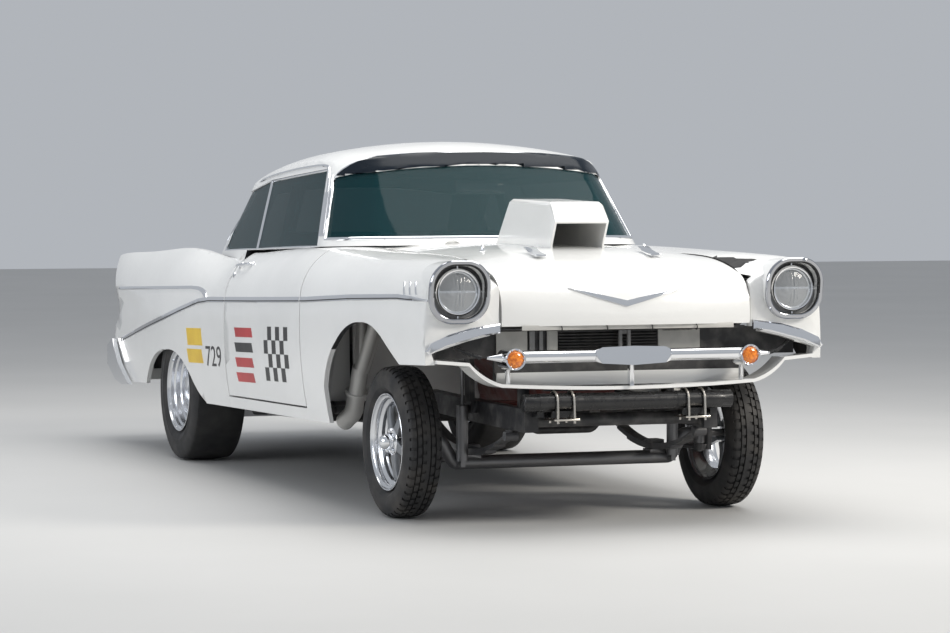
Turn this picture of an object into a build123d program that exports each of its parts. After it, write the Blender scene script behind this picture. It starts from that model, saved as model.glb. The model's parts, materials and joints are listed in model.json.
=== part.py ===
from build123d import *
import math
import os

os.makedirs("parts", exist_ok=True)

# Main sizes, in millimetres. The body is drawn level with y = 0 at the front axle and z = 0 at the
# floor, and is then raised and tipped nose-up over the rear axle as the car stands.
WHEELBASE = 2921
FRONT_AXLE_Y = -1762.7
BODY_RAKE = 2.21
BODY_LIFT = 25
GAP = 8
FIT = 0.3

FRONT_TYRE_RADIUS = 320
FRONT_TYRE_WIDTH = 165
FRONT_WHEEL_X = 735
REAR_TYRE_RADIUS = 350
REAR_TYRE_WIDTH = 270
REAR_WHEEL_X = 767
KINGPIN_X = 640

SEAM_X = 555
SKIN = 22
DOOR_FRONT = 790
DOOR_REAR = 1975
DOOR_BOTTOM = 309
DOOR_DEPTH = 95
BELT_X = 748
SILL_BOTTOM = 250
SILL_RISE = 0.015
HOOD_REAR = 650
TRUNK_FRONT = 2990
LID_DEPTH = 30

AXLE_PLACE = Location((0, FRONT_AXLE_Y, 0))
BODY_PLACE = (
    Location((0, FRONT_AXLE_Y + WHEELBASE, REAR_TYRE_RADIUS + BODY_LIFT))
    * Location((0, 0, 0), (-BODY_RAKE, 0, 0))
    * Location((0, -WHEELBASE, -REAR_TYRE_RADIUS))
)


def write(piece, node, place=BODY_PLACE):
    """Put a finished piece in its place on the car and write it to its own file."""
    shape = piece.part.moved(place)
    shape.label = node
    export_step(shape, f"parts/{node}.step")


def bowed(start, end, bow):
    """Arc from start to end whose middle stands out by bow, to the left of its run."""
    run = (end[0] - start[0], end[1] - start[1])
    length = math.hypot(*run)
    middle = (
        (start[0] + end[0]) / 2 - run[1] / length * bow,
        (start[1] + end[1]) / 2 + run[0] / length * bow,
    )
    return ThreePointArc(start, middle, end)


def block(x, y, z):
    """Box between two values on each axis, as a loose shape."""
    size = [high - low for low, high in (x, y, z)]
    middle = [(high + low) / 2 for low, high in (x, y, z)]
    return Location(tuple(middle)) * Box(*size, mode=Mode.PRIVATE)


def both_sides(x, y, z):
    """Two like boxes, one each side of the car."""
    low, high = x
    return block((low, high), y, z) + block((-high, -low), y, z)


def side_outline(points, x_low, x_high):
    """Solid with a straight-edged outline in side view, from x_low to x_high."""
    with BuildPart(mode=Mode.PRIVATE) as solid:
        with BuildSketch(Plane.YZ.offset(x_low)):
            with BuildLine():
                Polyline(*points, close=True)
            make_face()
        extrude(amount=x_high - x_low)
    return solid.part


def rod(start, end, radius):
    """Straight round rod between two points."""
    start, end = Vector(*start), Vector(*end)
    run = end - start
    return Plane(origin=start, z_dir=run) * Cylinder(
        radius, run.length, align=(Align.CENTER, Align.CENTER, Align.MIN), mode=Mode.PRIVATE
    )


def bent_tube(points, bend, radius):
    """Round tube along straight runs with arcs of one bend radius."""
    with BuildPart(mode=Mode.PRIVATE) as tube:
        with BuildLine() as path:
            FilletPolyline(*points, radius=bend)
        with BuildSketch(Plane(origin=path.line @ 0, z_dir=path.line % 0)):
            Circle(radius)
        sweep()
    return tube.part


# Side of the body, one row per station from the front. Columns: y, z of the inner edge,
# x and z of the crown, x and z of the widest line, x of the sill, bow of the top, bow of the shoulder.
FRONT_SIDE = (
    (-700, 818, 742, 938, 872, 775, 846, 10, 46),
    (-450, 922, 742, 955, 910, 780, 872, 10, 46),
    (0, 965, 748, 975, 927, 782, 886, 6, 44),
    (600, 998, 765, 1000, 927, 782, 888, 4, 40),
    (1200, 1008, 778, 1010, 925, 780, 888, 2, 36),
    (DOOR_REAR + GAP / 2, 1000, 772, 1000, 922, 775, 888, 2, 36),
)
REAR_SIDE = (
    (DOOR_REAR + GAP / 2, 1000, 772, 1000, 922, 775, 888, 2, 36),
    (2250, 966, 765, 970, 922, 775, 888, -2, 36),
    (2560, 965, 785, 1008, 926, 775, 894, -10, 34),
    (2900, 955, 808, 1036, 930, 772, 899, -25, 30),
    (3500, 925, 845, 1026, 927, 765, 892, -30, 24),
    (4110, 880, 888, 1000, 908, 755, 856, -30, 18),
)
SIDE_FLOOR = 240
LOWER_BOW = 18


def body_side(rows, inset=0):
    """Left side of the body as a solid, its skin moved in by inset."""
    with BuildPart(mode=Mode.PRIVATE) as side:
        for y, z_in, x_top, z_top, x_side, z_side, x_low, top_bow, shoulder_bow in rows:
            x_in = SEAM_X - 2 * inset
            z_low = SIDE_FLOOR - inset
            inner_foot = (x_in, z_low)
            inner_edge = (x_in, z_in - inset)
            crown = (x_top - 0.7 * inset, z_top - inset)
            widest = (x_side - inset, z_side)
            sill = (x_low - inset, z_low)
            with BuildSketch(Plane.XZ.offset(-y)):
                with BuildLine():
                    Line(inner_foot, inner_edge)
                    bowed(inner_edge, crown, top_bow)
                    bowed(crown, widest, shoulder_bow)
                    bowed(widest, sill, LOWER_BOW)
                    Line(sill, inner_foot)
                make_face()
        loft()
    return side.part


# Middle of the body, one row per station. Columns: y, z at the seams, z at the centre line.
COWL_ROWS = ((560, 996, 1022), (800, 1003, 1034), (1060, 1006, 1040))
DECK_ROWS = ((2560, 965, 1000), (2760, 960, 992), (3060, 949, 978))


def body_middle(rows, half_width, inset=0):
    """Middle of the body as a solid under a crowned top, its skin moved down by inset."""
    with BuildPart(mode=Mode.PRIVATE) as middle:
        for y, z_edge, z_centre in rows:
            edge = z_edge - inset
            with BuildSketch(Plane.XZ.offset(-y)):
                with BuildLine():
                    Line((-half_width, SIDE_FLOOR), (-half_width, edge))
                    ThreePointArc((-half_width, edge), (0, z_centre - inset), (half_width, edge))
                    Line((half_width, edge), (half_width, SIDE_FLOOR))
                    Line((half_width, SIDE_FLOOR), (-half_width, SIDE_FLOOR))
                make_face()
        loft()
    return middle.part


# Cabin walls, one row per height. Columns: z, y at the front centre, x and y of the front bend,
# x and y of the front corner, x and y of the rear corner, x and y of the rear bend, y at the rear.
CABIN_ROWS = (
    (930, 610, 600, 700, 790, 915, 740, 2770, 560, 2960, 3060),
    (1385, 900, 500, 965, 640, 1165, 615, 2395, 480, 2520, 2590),
    (1560, 1012, 460, 1068, 580, 1262, 565, 2250, 440, 2350, 2410),
)
CORNER_BOW = 16
WALL_BOW = 14


def cabin(inset=0):
    """Cabin as a solid with sloping walls, its skin moved in by inset."""
    with BuildPart(mode=Mode.PRIVATE) as walls:
        for z, y_front, bend_x, bend_y, corner_x, corner_y, back_x, back_y, turn_x, turn_y, y_rear in CABIN_ROWS:
            front = (0, y_front + inset)
            bend = (bend_x - inset / 2, bend_y + inset)
            corner = (corner_x - inset, corner_y + inset / 2)
            back = (back_x - inset, back_y - inset / 2)
            turn = (turn_x - inset / 2, turn_y - inset)
            rear = (0, y_rear - inset)
            with BuildSketch(Plane.XY.offset(z)):
                with BuildLine():
                    ThreePointArc((-bend[0], bend[1]), front, bend)
                    bowed(bend, corner, -CORNER_BOW)
                    bowed(corner, back, -WALL_BOW)
                    bowed(back, turn, -CORNER_BOW)
                    ThreePointArc(turn, rear, (-turn[0], turn[1]))
                    bowed((-turn[0], turn[1]), (-back[0], back[1]), -CORNER_BOW)
                    bowed((-back[0], back[1]), (-corner[0], corner[1]), -WALL_BOW)
                    bowed((-corner[0], corner[1]), (-bend[0], bend[1]), -CORNER_BOW)
                make_face()
        loft()
    return walls.part


# Roof crown, one row per station. Columns: y, z at the centre line, fall to the shoulder.
ROOF_ROWS = (
    (600, 1330, 36),
    (920, 1436, 40),
    (1250, 1496, 44),
    (1700, 1510, 48),
    (2200, 1478, 50),
    (2600, 1395, 52),
    (3100, 1210, 54),
)
ROOF_SHOULDER_X = 500
ROOF_EDGE_X = 760
ROOF_EDGE_FALL = 150
ROOF_EDGE_BOW = 26


def under_roof(inset=0):
    """Everything below the roof's crown, its surface moved down by inset."""
    with BuildPart(mode=Mode.PRIVATE) as under:
        for y, z_centre, fall in ROOF_ROWS:
            top = z_centre - inset
            shoulder = (ROOF_SHOULDER_X, top - fall)
            edge = (ROOF_EDGE_X, top - fall - ROOF_EDGE_FALL)
            foot = (ROOF_EDGE_X, 700)
            with BuildSketch(Plane.XZ.offset(-y)):
                with BuildLine():
                    Line((-foot[0], foot[1]), (-edge[0], edge[1]))
                    bowed((-edge[0], edge[1]), (-shoulder[0], shoulder[1]), ROOF_EDGE_BOW)
                    ThreePointArc((-shoulder[0], shoulder[1]), (0, top), shoulder)
                    bowed(shoulder, edge, ROOF_EDGE_BOW)
                    Line(edge, foot)
                    Line(foot, (-foot[0], foot[1]))
                make_face()
        loft()
    return under.part


FAR = 1200
ROOF_SKIN = 24
GLASS_INSET = 7
GLASS_THICKNESS = 5
HEADER_BAND = 50
SCREEN_SILL = 1046
PILLAR_LEAN = (1392 - SCREEN_SILL, 195)


def screen_opening(shrink=0):
    """Space ahead of the front pillars that the windscreen fills."""
    sill = SCREEN_SILL + shrink
    outline = ((400, sill), (975 - shrink, sill), (1180 - shrink, 1410), (1180 - shrink, 1600), (400, 1600))
    return side_outline(outline, -FAR, FAR) & under_roof(HEADER_BAND + shrink)


REAR_SILL = 1022


def rear_opening(shrink=0):
    """Space behind the rear pillars that the rear window fills."""
    sill = REAR_SILL + shrink
    outline = ((2855 + shrink, sill), (2470 + shrink, 1420), (2470 + shrink, 1600), (3300, 1600), (3300, sill))
    return side_outline(outline, -FAR, FAR) & under_roof(HEADER_BAND + shrink)


SIDE_SILL = 1018
DIVISION_LOW = 2016
DIVISION_HIGH = 2122


def side_opening(shrink=0):
    """Side window outline in side view, from the front pillar to the rear pillar."""
    s = shrink
    return (
        (1038 + s, SIDE_SILL),
        (1222 + s, 1374 - s),
        (2100, 1350 - s),
        (2493 - s, 1303 - s),
        (2589 - s, 1195),
        (2653 - s, 1040),
        (2653 - s, SIDE_SILL),
    )


# Wheel arches in side view.
with BuildPart() as arch_cutter:
    with BuildSketch(Plane.YZ.offset(-FAR)):
        with BuildLine():
            Line((-900, 100), (-900, 519))
            Line((-900, 519), (-470, 519))
            Line((-470, 519), (-290, 630))
            ThreePointArc((-290, 630), (-170, 676), (-35, 688))
            ThreePointArc((-35, 688), (150, 664), (290, 602))
            ThreePointArc((290, 602), (405, 524), (497, 402))
            Line((497, 402), (497, 100))
            Line((497, 100), (-900, 100))
        make_face()
        with BuildLine():
            Line((2394, 100), (2394, 280))
            ThreePointArc((2394, 280), (2478, 317), (2569, 382))
            ThreePointArc((2569, 382), (2755, 496), (3005, 527))
            ThreePointArc((3005, 527), (3250, 484), (3451, 347))
            Line((3451, 347), (4300, 347))
            Line((4300, 347), (4300, 100))
            Line((4300, 100), (2394, 100))
        make_face()
    extrude(amount=2 * FAR)

# Lower front of the body: the mouth under the headlamps.
with BuildPart() as mouth_cutter:
    with BuildSketch(Plane.XZ.offset(470)):
        with BuildLine():
            Polyline((-600, 380), (-600, 655), (600, 655), (600, 380), close=True)
        make_face()
        for side in (1, -1):
            with BuildLine():
                Polyline(
                    (side * 500, 380), (side * 500, 655), (side * 568, 641), (side * 700, 612),
                    (side * 852, 566), (side * 838, 524), (side * 838, 380), close=True,
                )
            make_face()
    extrude(amount=400)



def sill_z(y):
    """Height of the sill's lower edge, which rises a little towards the rear."""
    return SILL_BOTTOM + SILL_RISE * (y - DOOR_FRONT)


def door_z(y):
    """Height of the door's lower edge."""
    return DOOR_BOTTOM + SILL_RISE * (y - DOOR_FRONT)


under_sill = side_outline(((0, 0), (0, sill_z(0)), (2500, sill_z(2500)), (2500, 0)), 0, FAR)
under_door = side_outline(((600, 0), (600, door_z(600)), (2200, door_z(2200)), (2200, 0)), 0, FAR)

# Rear edge of the quarters in side view: fin tip, waist and lamp pod.
TAIL_EDGE = (
    (4048, 1100), (4042, 956), (4024, 847), (3984, 764), (3988, 694), (4062, 650), (4104, 612), (4110, 540),
    (4110, 100),
)
TAIL_WALL = 34
FIN_INNER_X = 600


def ahead_of_tail(shift=0, fin_x=FIN_INNER_X):
    """Everything ahead of the quarters' rear edge, the edge moved rearward by shift."""
    edge = [(y + shift, z) for y, z in TAIL_EDGE]
    fin = side_outline(((1900, 100), (1900, 1100), *edge), fin_x, FAR)
    return fin + block((0, fin_x), (1900, TAIL_EDGE[-1][0] + shift), (100, 1100))


outer_front = body_side(FRONT_SIDE)
inner_front = body_side(FRONT_SIDE, SKIN)
outer_rear = body_side(REAR_SIDE)
inner_rear = body_side(REAR_SIDE, SKIN)

# Headlamp housings stand out of the fender fronts under a small visor.
HEADLAMP_X = 742
HEADLAMP_Z = 810
HEADLAMP_FACE = -712
HOUSING_WIDTH = 255
HOUSING_HEIGHT = 250
HOUSING_WALL = 20
HOUSING_INNER = (HOUSING_WIDTH - 2 * HOUSING_WALL, HOUSING_HEIGHT - 2 * HOUSING_WALL)
VISOR_TOP_Y = -778
VISOR_FOOT_Y = -722
RIM_BAND = 22
RIM_PROUD = 3


def visor_space(back):
    """Everything ahead of the slanted front plane of the headlamp housings, the plane moved back."""
    return side_outline(
        ((VISOR_TOP_Y + back, 1000), (VISOR_FOOT_Y + back, 640), (-1000, 640), (-1000, 1000)), 500, 1000
    )


with BuildPart() as housing:
    with BuildSketch(Plane.XZ.offset(500)):
        with Locations((HEADLAMP_X, HEADLAMP_Z)):
            RectangleRounded(HOUSING_WIDTH, HOUSING_HEIGHT, 104)
    extrude(amount=320)
    add(visor_space(RIM_BAND + FIT), mode=Mode.SUBTRACT)
    with BuildSketch(Plane.XZ.offset(-HEADLAMP_FACE - 20)):
        with Locations((HEADLAMP_X, HEADLAMP_Z)):
            RectangleRounded(*HOUSING_INNER, 88)
    extrude(amount=200, mode=Mode.SUBTRACT)

with BuildPart() as fender_left:
    add(outer_front)
    add(
        inner_front & block((0, FAR), (-660, 2000), (0, FAR)),
        mode=Mode.SUBTRACT,
    )
    add(block((SEAM_X + GAP / 2, FAR), (-900, DOOR_FRONT - GAP), (0, FAR)), mode=Mode.INTERSECT)
    add(under_sill, mode=Mode.SUBTRACT)
    with BuildSketch(Plane.XZ.offset(600)):
        with Locations((HEADLAMP_X, HEADLAMP_Z)):
            RectangleRounded(HOUSING_WIDTH - 4, HOUSING_HEIGHT - 4, 102)
    extrude(amount=200, mode=Mode.SUBTRACT)
    add(housing.part)
    add(arch_cutter.part, mode=Mode.SUBTRACT)
    add(mouth_cutter.part, mode=Mode.SUBTRACT)
write(fender_left, "fender_left")

with BuildPart() as fender_right:
    mirror(fender_left.part, about=Plane.YZ)
write(fender_right, "fender_right")

# Bright rims cap the headlamp housings, and bright blades run over the corners of the mouth.
with BuildPart() as headlamp_rims:
    with BuildSketch(Plane.XZ.offset(600)):
        with Locations((HEADLAMP_X, HEADLAMP_Z)):
            RectangleRounded(HOUSING_WIDTH + 2 * RIM_PROUD, HOUSING_HEIGHT + 2 * RIM_PROUD, 104 + RIM_PROUD)
            RectangleRounded(*HOUSING_INNER, 84, mode=Mode.SUBTRACT)
    extrude(amount=220)
    add(visor_space(0), mode=Mode.SUBTRACT)
    add(visor_space(RIM_BAND), mode=Mode.INTERSECT)
    chamfer(headlamp_rims.faces().sort_by(Axis.Y)[0].edges(), 5)
    mirror(about=Plane.YZ)
write(headlamp_rims, "headlamp_rims")

BLADE_FACE = -700
BLADE_DEPTH = 26
with BuildPart() as mouth_blades:
    with BuildSketch(Plane.XZ.offset(-BLADE_FACE + FIT)):
        with BuildLine():
            Polyline(
                (562, 643), (640, 632), (713, 613), (795, 592), (868, 560), (880, 574), (861, 606), (781, 641),
                (691, 665), (562, 682), close=True,
            )
        make_face()
    extrude(amount=BLADE_DEPTH)
    chamfer(mouth_blades.faces().sort_by(Axis.Y)[0].edges(), 6)
    mirror(about=Plane.YZ)
write(mouth_blades, "mouth_blades")

# Hood and trunk lid: side-view outlines lofted across the car. Each outline row holds y and z of the
# lip, the nose, the brow, the middle and the far edge of the outer skin.
HOOD_LINES = (
    (0, ((-742, 669), (-744, 735), (-640, 880), (-180, 992), (HOOD_REAR, 1026))),
    (330, ((-722, 669), (-722, 740), (-610, 888), (-180, 984), (HOOD_REAR, 1014))),
    (SEAM_X, ((-706, 669), (-704, 770), (-580, 885), (-180, 952), (HOOD_REAR, 998))),
)
TRUNK_LINES = (
    (0, ((4196, 600), (4190, 720), (4080, 862), (3600, 950), (TRUNK_FRONT, 980))),
    (330, ((4186, 600), (4178, 720), (4070, 856), (3600, 942), (TRUNK_FRONT, 970))),
    (SEAM_X, ((4160, 600), (4150, 720), (4050, 850), (3600, 920), (TRUNK_FRONT, 951))),
)
HOOD_LIP_Z = 669
TRUNK_LIP_Z = 600
LID_BOWS = (4, 24, 14, 5)
LID_FLOOR = 400


def lid_hull(lines, turn):
    """Solid under a lid's outer skin; turn is 1 where its outline runs from front to back, or -1."""
    sections = [(-lines[-1][0], lines[-1][1]), *lines[::2]]
    with BuildPart(mode=Mode.PRIVATE) as hull:
        for x, points in sections:
            with BuildSketch(Plane.YZ.offset(x)):
                with BuildLine():
                    for start, end, bow in zip(points, points[1:], LID_BOWS):
                        bowed(start, end, turn * bow)
                    Line(points[-1], (points[-1][0], LID_FLOOR))
                    Line((points[-1][0], LID_FLOOR), (points[0][0], LID_FLOOR))
                    Line((points[0][0], LID_FLOOR), points[0])
                make_face()
        loft()
    return hull.part


LID_HALF = SEAM_X - GAP / 2
HINGE_SETBACK = 60
LID_AXIS_DROP = 17
EYE_RADIUS = 9
LID_PIN_RADIUS = 5
STRAP_WIDTH = 16
LID_STRAP_X = 430
POCKET_SIDE = 5
LID_SWING = 81
STRAP_ARM = 22


def lid_pocket(axis, turn):
    """Room for one hinge strap under a lid, open downwards and to the hinged edge."""
    y, z = axis
    half = STRAP_WIDTH / 2 + POCKET_SIDE
    far = y + turn * (HINGE_SETBACK + 40)
    near = y - turn * (EYE_RADIUS + 3)
    low, high = min(far, near), max(far, near)
    cut = block((-half, half), (low, high), (z - 80, z + EYE_RADIUS + 2))
    pin = rod((-half - 22, y, z), (half + 22, y, z), LID_PIN_RADIUS + FIT)
    return cut + pin


def lid_strap(axis, turn, wall_y):
    """Hinge strap with its pin: down from a lid's axis, clear of the lid's swing, then to a wall."""
    y, z = axis
    half = STRAP_WIDTH / 2
    near, far = y - turn * EYE_RADIUS, y + turn * EYE_RADIUS
    arm_top, arm_foot = z - LID_SWING, z - LID_SWING - STRAP_ARM
    with BuildPart(mode=Mode.PRIVATE) as strap:
        with BuildSketch(Plane.YZ.offset(-half)):
            with Locations((y, z)):
                Circle(EYE_RADIUS)
            with BuildLine():
                Polyline(
                    (near, z), (far, z), (far, arm_top), (wall_y, arm_top), (wall_y, arm_foot),
                    (near, arm_foot), close=True,
                )
            make_face()
        extrude(amount=STRAP_WIDTH)
        add(rod((-half - 20, y, z), (half + 20, y, z), LID_PIN_RADIUS))
    return strap.part


HOOD_AXIS = (HOOD_REAR - HINGE_SETBACK, 1000 - LID_AXIS_DROP)
TRUNK_AXIS = (TRUNK_FRONT + HINGE_SETBACK, 952 - LID_AXIS_DROP)
STRAP_SIDES = ((LID_STRAP_X, 0, 0), (-LID_STRAP_X, 0, 0))

SCOOP_WIDTH = 245
SCOOP_FRONT = -180
hood_hull = lid_hull(HOOD_LINES, 1)
with BuildPart() as hood:
    add(hood_hull)
    add(Location((0, LID_DEPTH, -LID_DEPTH)) * hood_hull, mode=Mode.SUBTRACT)
    add(block((-LID_HALF, LID_HALF), (-900, HOOD_REAR), (HOOD_LIP_Z, FAR)), mode=Mode.INTERSECT)
    for place in STRAP_SIDES:
        add(Location(place) * lid_pocket(HOOD_AXIS, 1), mode=Mode.SUBTRACT)
write(hood, "hood")

# Air scoop: a folded box with a slanted brow over an open mouth.
with BuildPart() as hood_scoop:
    with BuildSketch(Plane.YZ.offset(-SCOOP_WIDTH / 2)):
        with BuildLine():
            Polyline(
                (SCOOP_FRONT, 900), (SCOOP_FRONT, 1005), (SCOOP_FRONT - 54, 1101), (SCOOP_FRONT + 24, 1186),
                (SCOOP_FRONT + 461, 1210), (SCOOP_FRONT + 644, 1016), (SCOOP_FRONT + 644, 900), close=True,
            )
        make_face()
    extrude(amount=SCOOP_WIDTH)
    chamfer(hood_scoop.edges().filter_by(Axis.Y, tolerance=5).group_by(Axis.Z)[-1], 14)
    with BuildSketch(Plane.YZ.offset(-SCOOP_WIDTH / 2 + 9)):
        with BuildLine():
            Polyline(
                (SCOOP_FRONT - 80, 900), (SCOOP_FRONT - 80, 1093), (SCOOP_FRONT - 48, 1093),
                (SCOOP_FRONT + 29, 1177), (SCOOP_FRONT + 456, 1200), (SCOOP_FRONT + 628, 1016),
                (SCOOP_FRONT + 628, 900), close=True,
            )
        make_face()
    extrude(amount=SCOOP_WIDTH - 18, mode=Mode.SUBTRACT)
    add(hood_hull, mode=Mode.SUBTRACT)
write(hood_scoop, "hood_scoop")

trunk_hull = lid_hull(TRUNK_LINES, -1)
with BuildPart() as trunk_lid:
    add(trunk_hull)
    add(Location((0, -LID_DEPTH, -LID_DEPTH)) * trunk_hull, mode=Mode.SUBTRACT)
    add(block((-LID_HALF, LID_HALF), (TRUNK_FRONT, 4300), (TRUNK_LIP_Z, FAR)), mode=Mode.INTERSECT)
    for place in STRAP_SIDES:
        add(Location(place) * lid_pocket(TRUNK_AXIS, -1), mode=Mode.SUBTRACT)
write(trunk_lid, "trunk_lid")

# Doors: full thickness, hung on two straps that reach out from the hinge posts.
DOOR_AXIS_X = 902
DOOR_AXIS_Y = DOOR_FRONT + HINGE_SETBACK
DOOR_EYE_RADIUS = 11
DOOR_PIN_RADIUS = 6
DOOR_STRAP_HALF = 12
DOOR_HINGE_Z = (450, 800)
POST_FACE_X = DOOR_AXIS_X - 108
DOOR_REAR_BEVEL = 24
with BuildPart() as door_left:
    add(outer_front)
    add(body_side(FRONT_SIDE, DOOR_DEPTH), mode=Mode.SUBTRACT)
    with BuildSketch(Plane.XY.offset(DOOR_BOTTOM - 40)):
        with BuildLine():
            Polyline(
                (BELT_X, DOOR_FRONT), (FAR, DOOR_FRONT), (FAR, DOOR_REAR), (890, DOOR_REAR),
                (BELT_X, DOOR_REAR - DOOR_REAR_BEVEL), close=True,
            )
        make_face()
    extrude(amount=900, mode=Mode.INTERSECT)
    add(under_door, mode=Mode.SUBTRACT)
    for z in DOOR_HINGE_Z:
        add(
            block(
                (500, DOOR_AXIS_X + DOOR_EYE_RADIUS + 2),
                (DOOR_FRONT - 20, DOOR_AXIS_Y + DOOR_EYE_RADIUS + 4),
                (z - DOOR_STRAP_HALF - 5, z + DOOR_STRAP_HALF + 5),
            ),
            mode=Mode.SUBTRACT,
        )
        add(
            rod((DOOR_AXIS_X, DOOR_AXIS_Y, z - 36), (DOOR_AXIS_X, DOOR_AXIS_Y, z + 36), DOOR_PIN_RADIUS + FIT),
            mode=Mode.SUBTRACT,
        )
write(door_left, "door_left")

with BuildPart() as door_right:
    mirror(door_left.part, about=Plane.YZ)
write(door_right, "door_right")

# Cabin shell and the glass in it.
cabin_outer = cabin() & under_roof()
cabin_inner = cabin(ROOF_SKIN) & under_roof(ROOF_SKIN)
glass_shell = (cabin(GLASS_INSET) & under_roof(GLASS_INSET)) - (
    cabin(GLASS_INSET + GLASS_THICKNESS) & under_roof(GLASS_INSET + GLASS_THICKNESS)
)
cowl_hull = body_middle(COWL_ROWS, SEAM_X)
deck_hull = body_middle(DECK_ROWS, SEAM_X)
outer_right_front = outer_front.mirror(Plane.YZ)
outer_right_rear = outer_rear.mirror(Plane.YZ)

with BuildPart() as roof:
    add(cabin_outer)
    add(cabin_inner, mode=Mode.SUBTRACT)
    add(screen_opening(), mode=Mode.SUBTRACT)
    add(rear_opening(), mode=Mode.SUBTRACT)
    add(side_outline(side_opening(), -FAR, FAR), mode=Mode.SUBTRACT)
    add(block((-FAR, FAR), (0, 2200), (0, 1016)), mode=Mode.SUBTRACT)
    for hull in (outer_front, outer_right_front, outer_rear, outer_right_rear, cowl_hull, deck_hull):
        add(hull, mode=Mode.SUBTRACT)
write(roof, "roof")

with BuildPart() as windscreen:
    add(glass_shell)
    add(screen_opening(FIT), mode=Mode.INTERSECT)
write(windscreen, "windscreen")

with BuildPart() as rear_window:
    add(glass_shell)
    add(rear_opening(FIT), mode=Mode.INTERSECT)
write(rear_window, "rear_window")

division = ((DIVISION_LOW, SIDE_SILL - 60), (DIVISION_HIGH, 1420), (4000, 1420), (4000, SIDE_SILL - 60))
with BuildPart() as quarter_windows:
    add(glass_shell)
    add(side_outline(side_opening(FIT), -FAR, FAR), mode=Mode.INTERSECT)
    add(side_outline(division, -FAR, FAR), mode=Mode.INTERSECT)
    for hull in (outer_rear, outer_right_rear):
        add(hull, mode=Mode.SUBTRACT)
write(quarter_windows, "quarter_windows")

with BuildPart() as door_glass_left:
    add(glass_shell)
    add(side_outline(side_opening(6), 0, FAR), mode=Mode.INTERSECT)
    add(Location((0, -GAP, 0)) * side_outline(division, 0, FAR), mode=Mode.SUBTRACT)
    add(outer_front, mode=Mode.SUBTRACT)
write(door_glass_left, "door_glass_left")

with BuildPart() as door_glass_right:
    mirror(door_glass_left.part, about=Plane.YZ)
write(door_glass_right, "door_glass_right")

# Body pieces that stay with the floor.
body_hulls = (outer_front, outer_right_front, cowl_hull)
inner_hulls = (inner_front, inner_front.mirror(Plane.YZ), body_middle(COWL_ROWS, SEAM_X + 50, SKIN))
FLOOR_Z = 330
FLOOR_WALL = 16
FLOOR_END = 2225
TUNNEL_INNER = 114
TUNNEL_TOP = 484
FIREWALL_Y = (HOOD_REAR + 60, HOOD_REAR + 75)
POST_INNER_X = 700
POST_OUTER_X = BELT_X - 17
POST_TOP = 836
HOOD_SWEEP = math.hypot(HINGE_SETBACK, 1026 - HOOD_AXIS[1]) + 5
TRUNK_SWEEP = math.hypot(HINGE_SETBACK, 980 - TRUNK_AXIS[1]) + 5
with BuildPart() as cowl:
    for hull in body_hulls:
        add(hull & block((-POST_OUTER_X, POST_OUTER_X), (HOOD_REAR + GAP, 1090), (700, FAR)))
    for hull in inner_hulls:
        add(hull, mode=Mode.SUBTRACT)
    add(both_sides((SEAM_X, POST_OUTER_X), (500, DOOR_FRONT - GAP), (800, FAR)), mode=Mode.SUBTRACT)
    add(both_sides((POST_INNER_X, POST_OUTER_X), (DOOR_FRONT - GAP, 1090), (FLOOR_Z, 990)))
    add(both_sides((POST_OUTER_X - 5, POST_FACE_X), (DOOR_FRONT - GAP, 895), (FLOOR_Z, POST_TOP)))
    add(block((-POST_INNER_X - 5, POST_INNER_X + 5), FIREWALL_Y, (FLOOR_Z, 950)))
    add(block((6 - SEAM_X, SEAM_X - 6), FIREWALL_Y, (940, 1005)))
    add(block((-TUNNEL_INNER, TUNNEL_INNER), (600, 800), (0, TUNNEL_TOP)), mode=Mode.SUBTRACT)
    add(block((-SEAM_X, SEAM_X), (HOOD_REAR + GAP, HOOD_REAR + 30), (900, 1000)))
    add(rod((-FAR, *HOOD_AXIS), (FAR, *HOOD_AXIS), HOOD_SWEEP), mode=Mode.SUBTRACT)
    for z in DOOR_HINGE_Z:
        strap_reach = (POST_FACE_X - 4, DOOR_AXIS_X)
        strap_y = (DOOR_AXIS_Y - DOOR_EYE_RADIUS, DOOR_AXIS_Y + DOOR_EYE_RADIUS)
        add(both_sides(strap_reach, strap_y, (z - DOOR_STRAP_HALF, z + DOOR_STRAP_HALF)))
        for x in (DOOR_AXIS_X, -DOOR_AXIS_X):
            foot = (x, DOOR_AXIS_Y, z - DOOR_STRAP_HALF)
            add(rod(foot, (x, DOOR_AXIS_Y, z + DOOR_STRAP_HALF), DOOR_EYE_RADIUS))
            add(rod((x, DOOR_AXIS_Y, z - 34), (x, DOOR_AXIS_Y, z + 34), DOOR_PIN_RADIUS))
    for place in STRAP_SIDES:
        add(Location(place) * lid_strap(HOOD_AXIS, 1, FIREWALL_Y[0] + 5))
write(cowl, "cowl")

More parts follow.
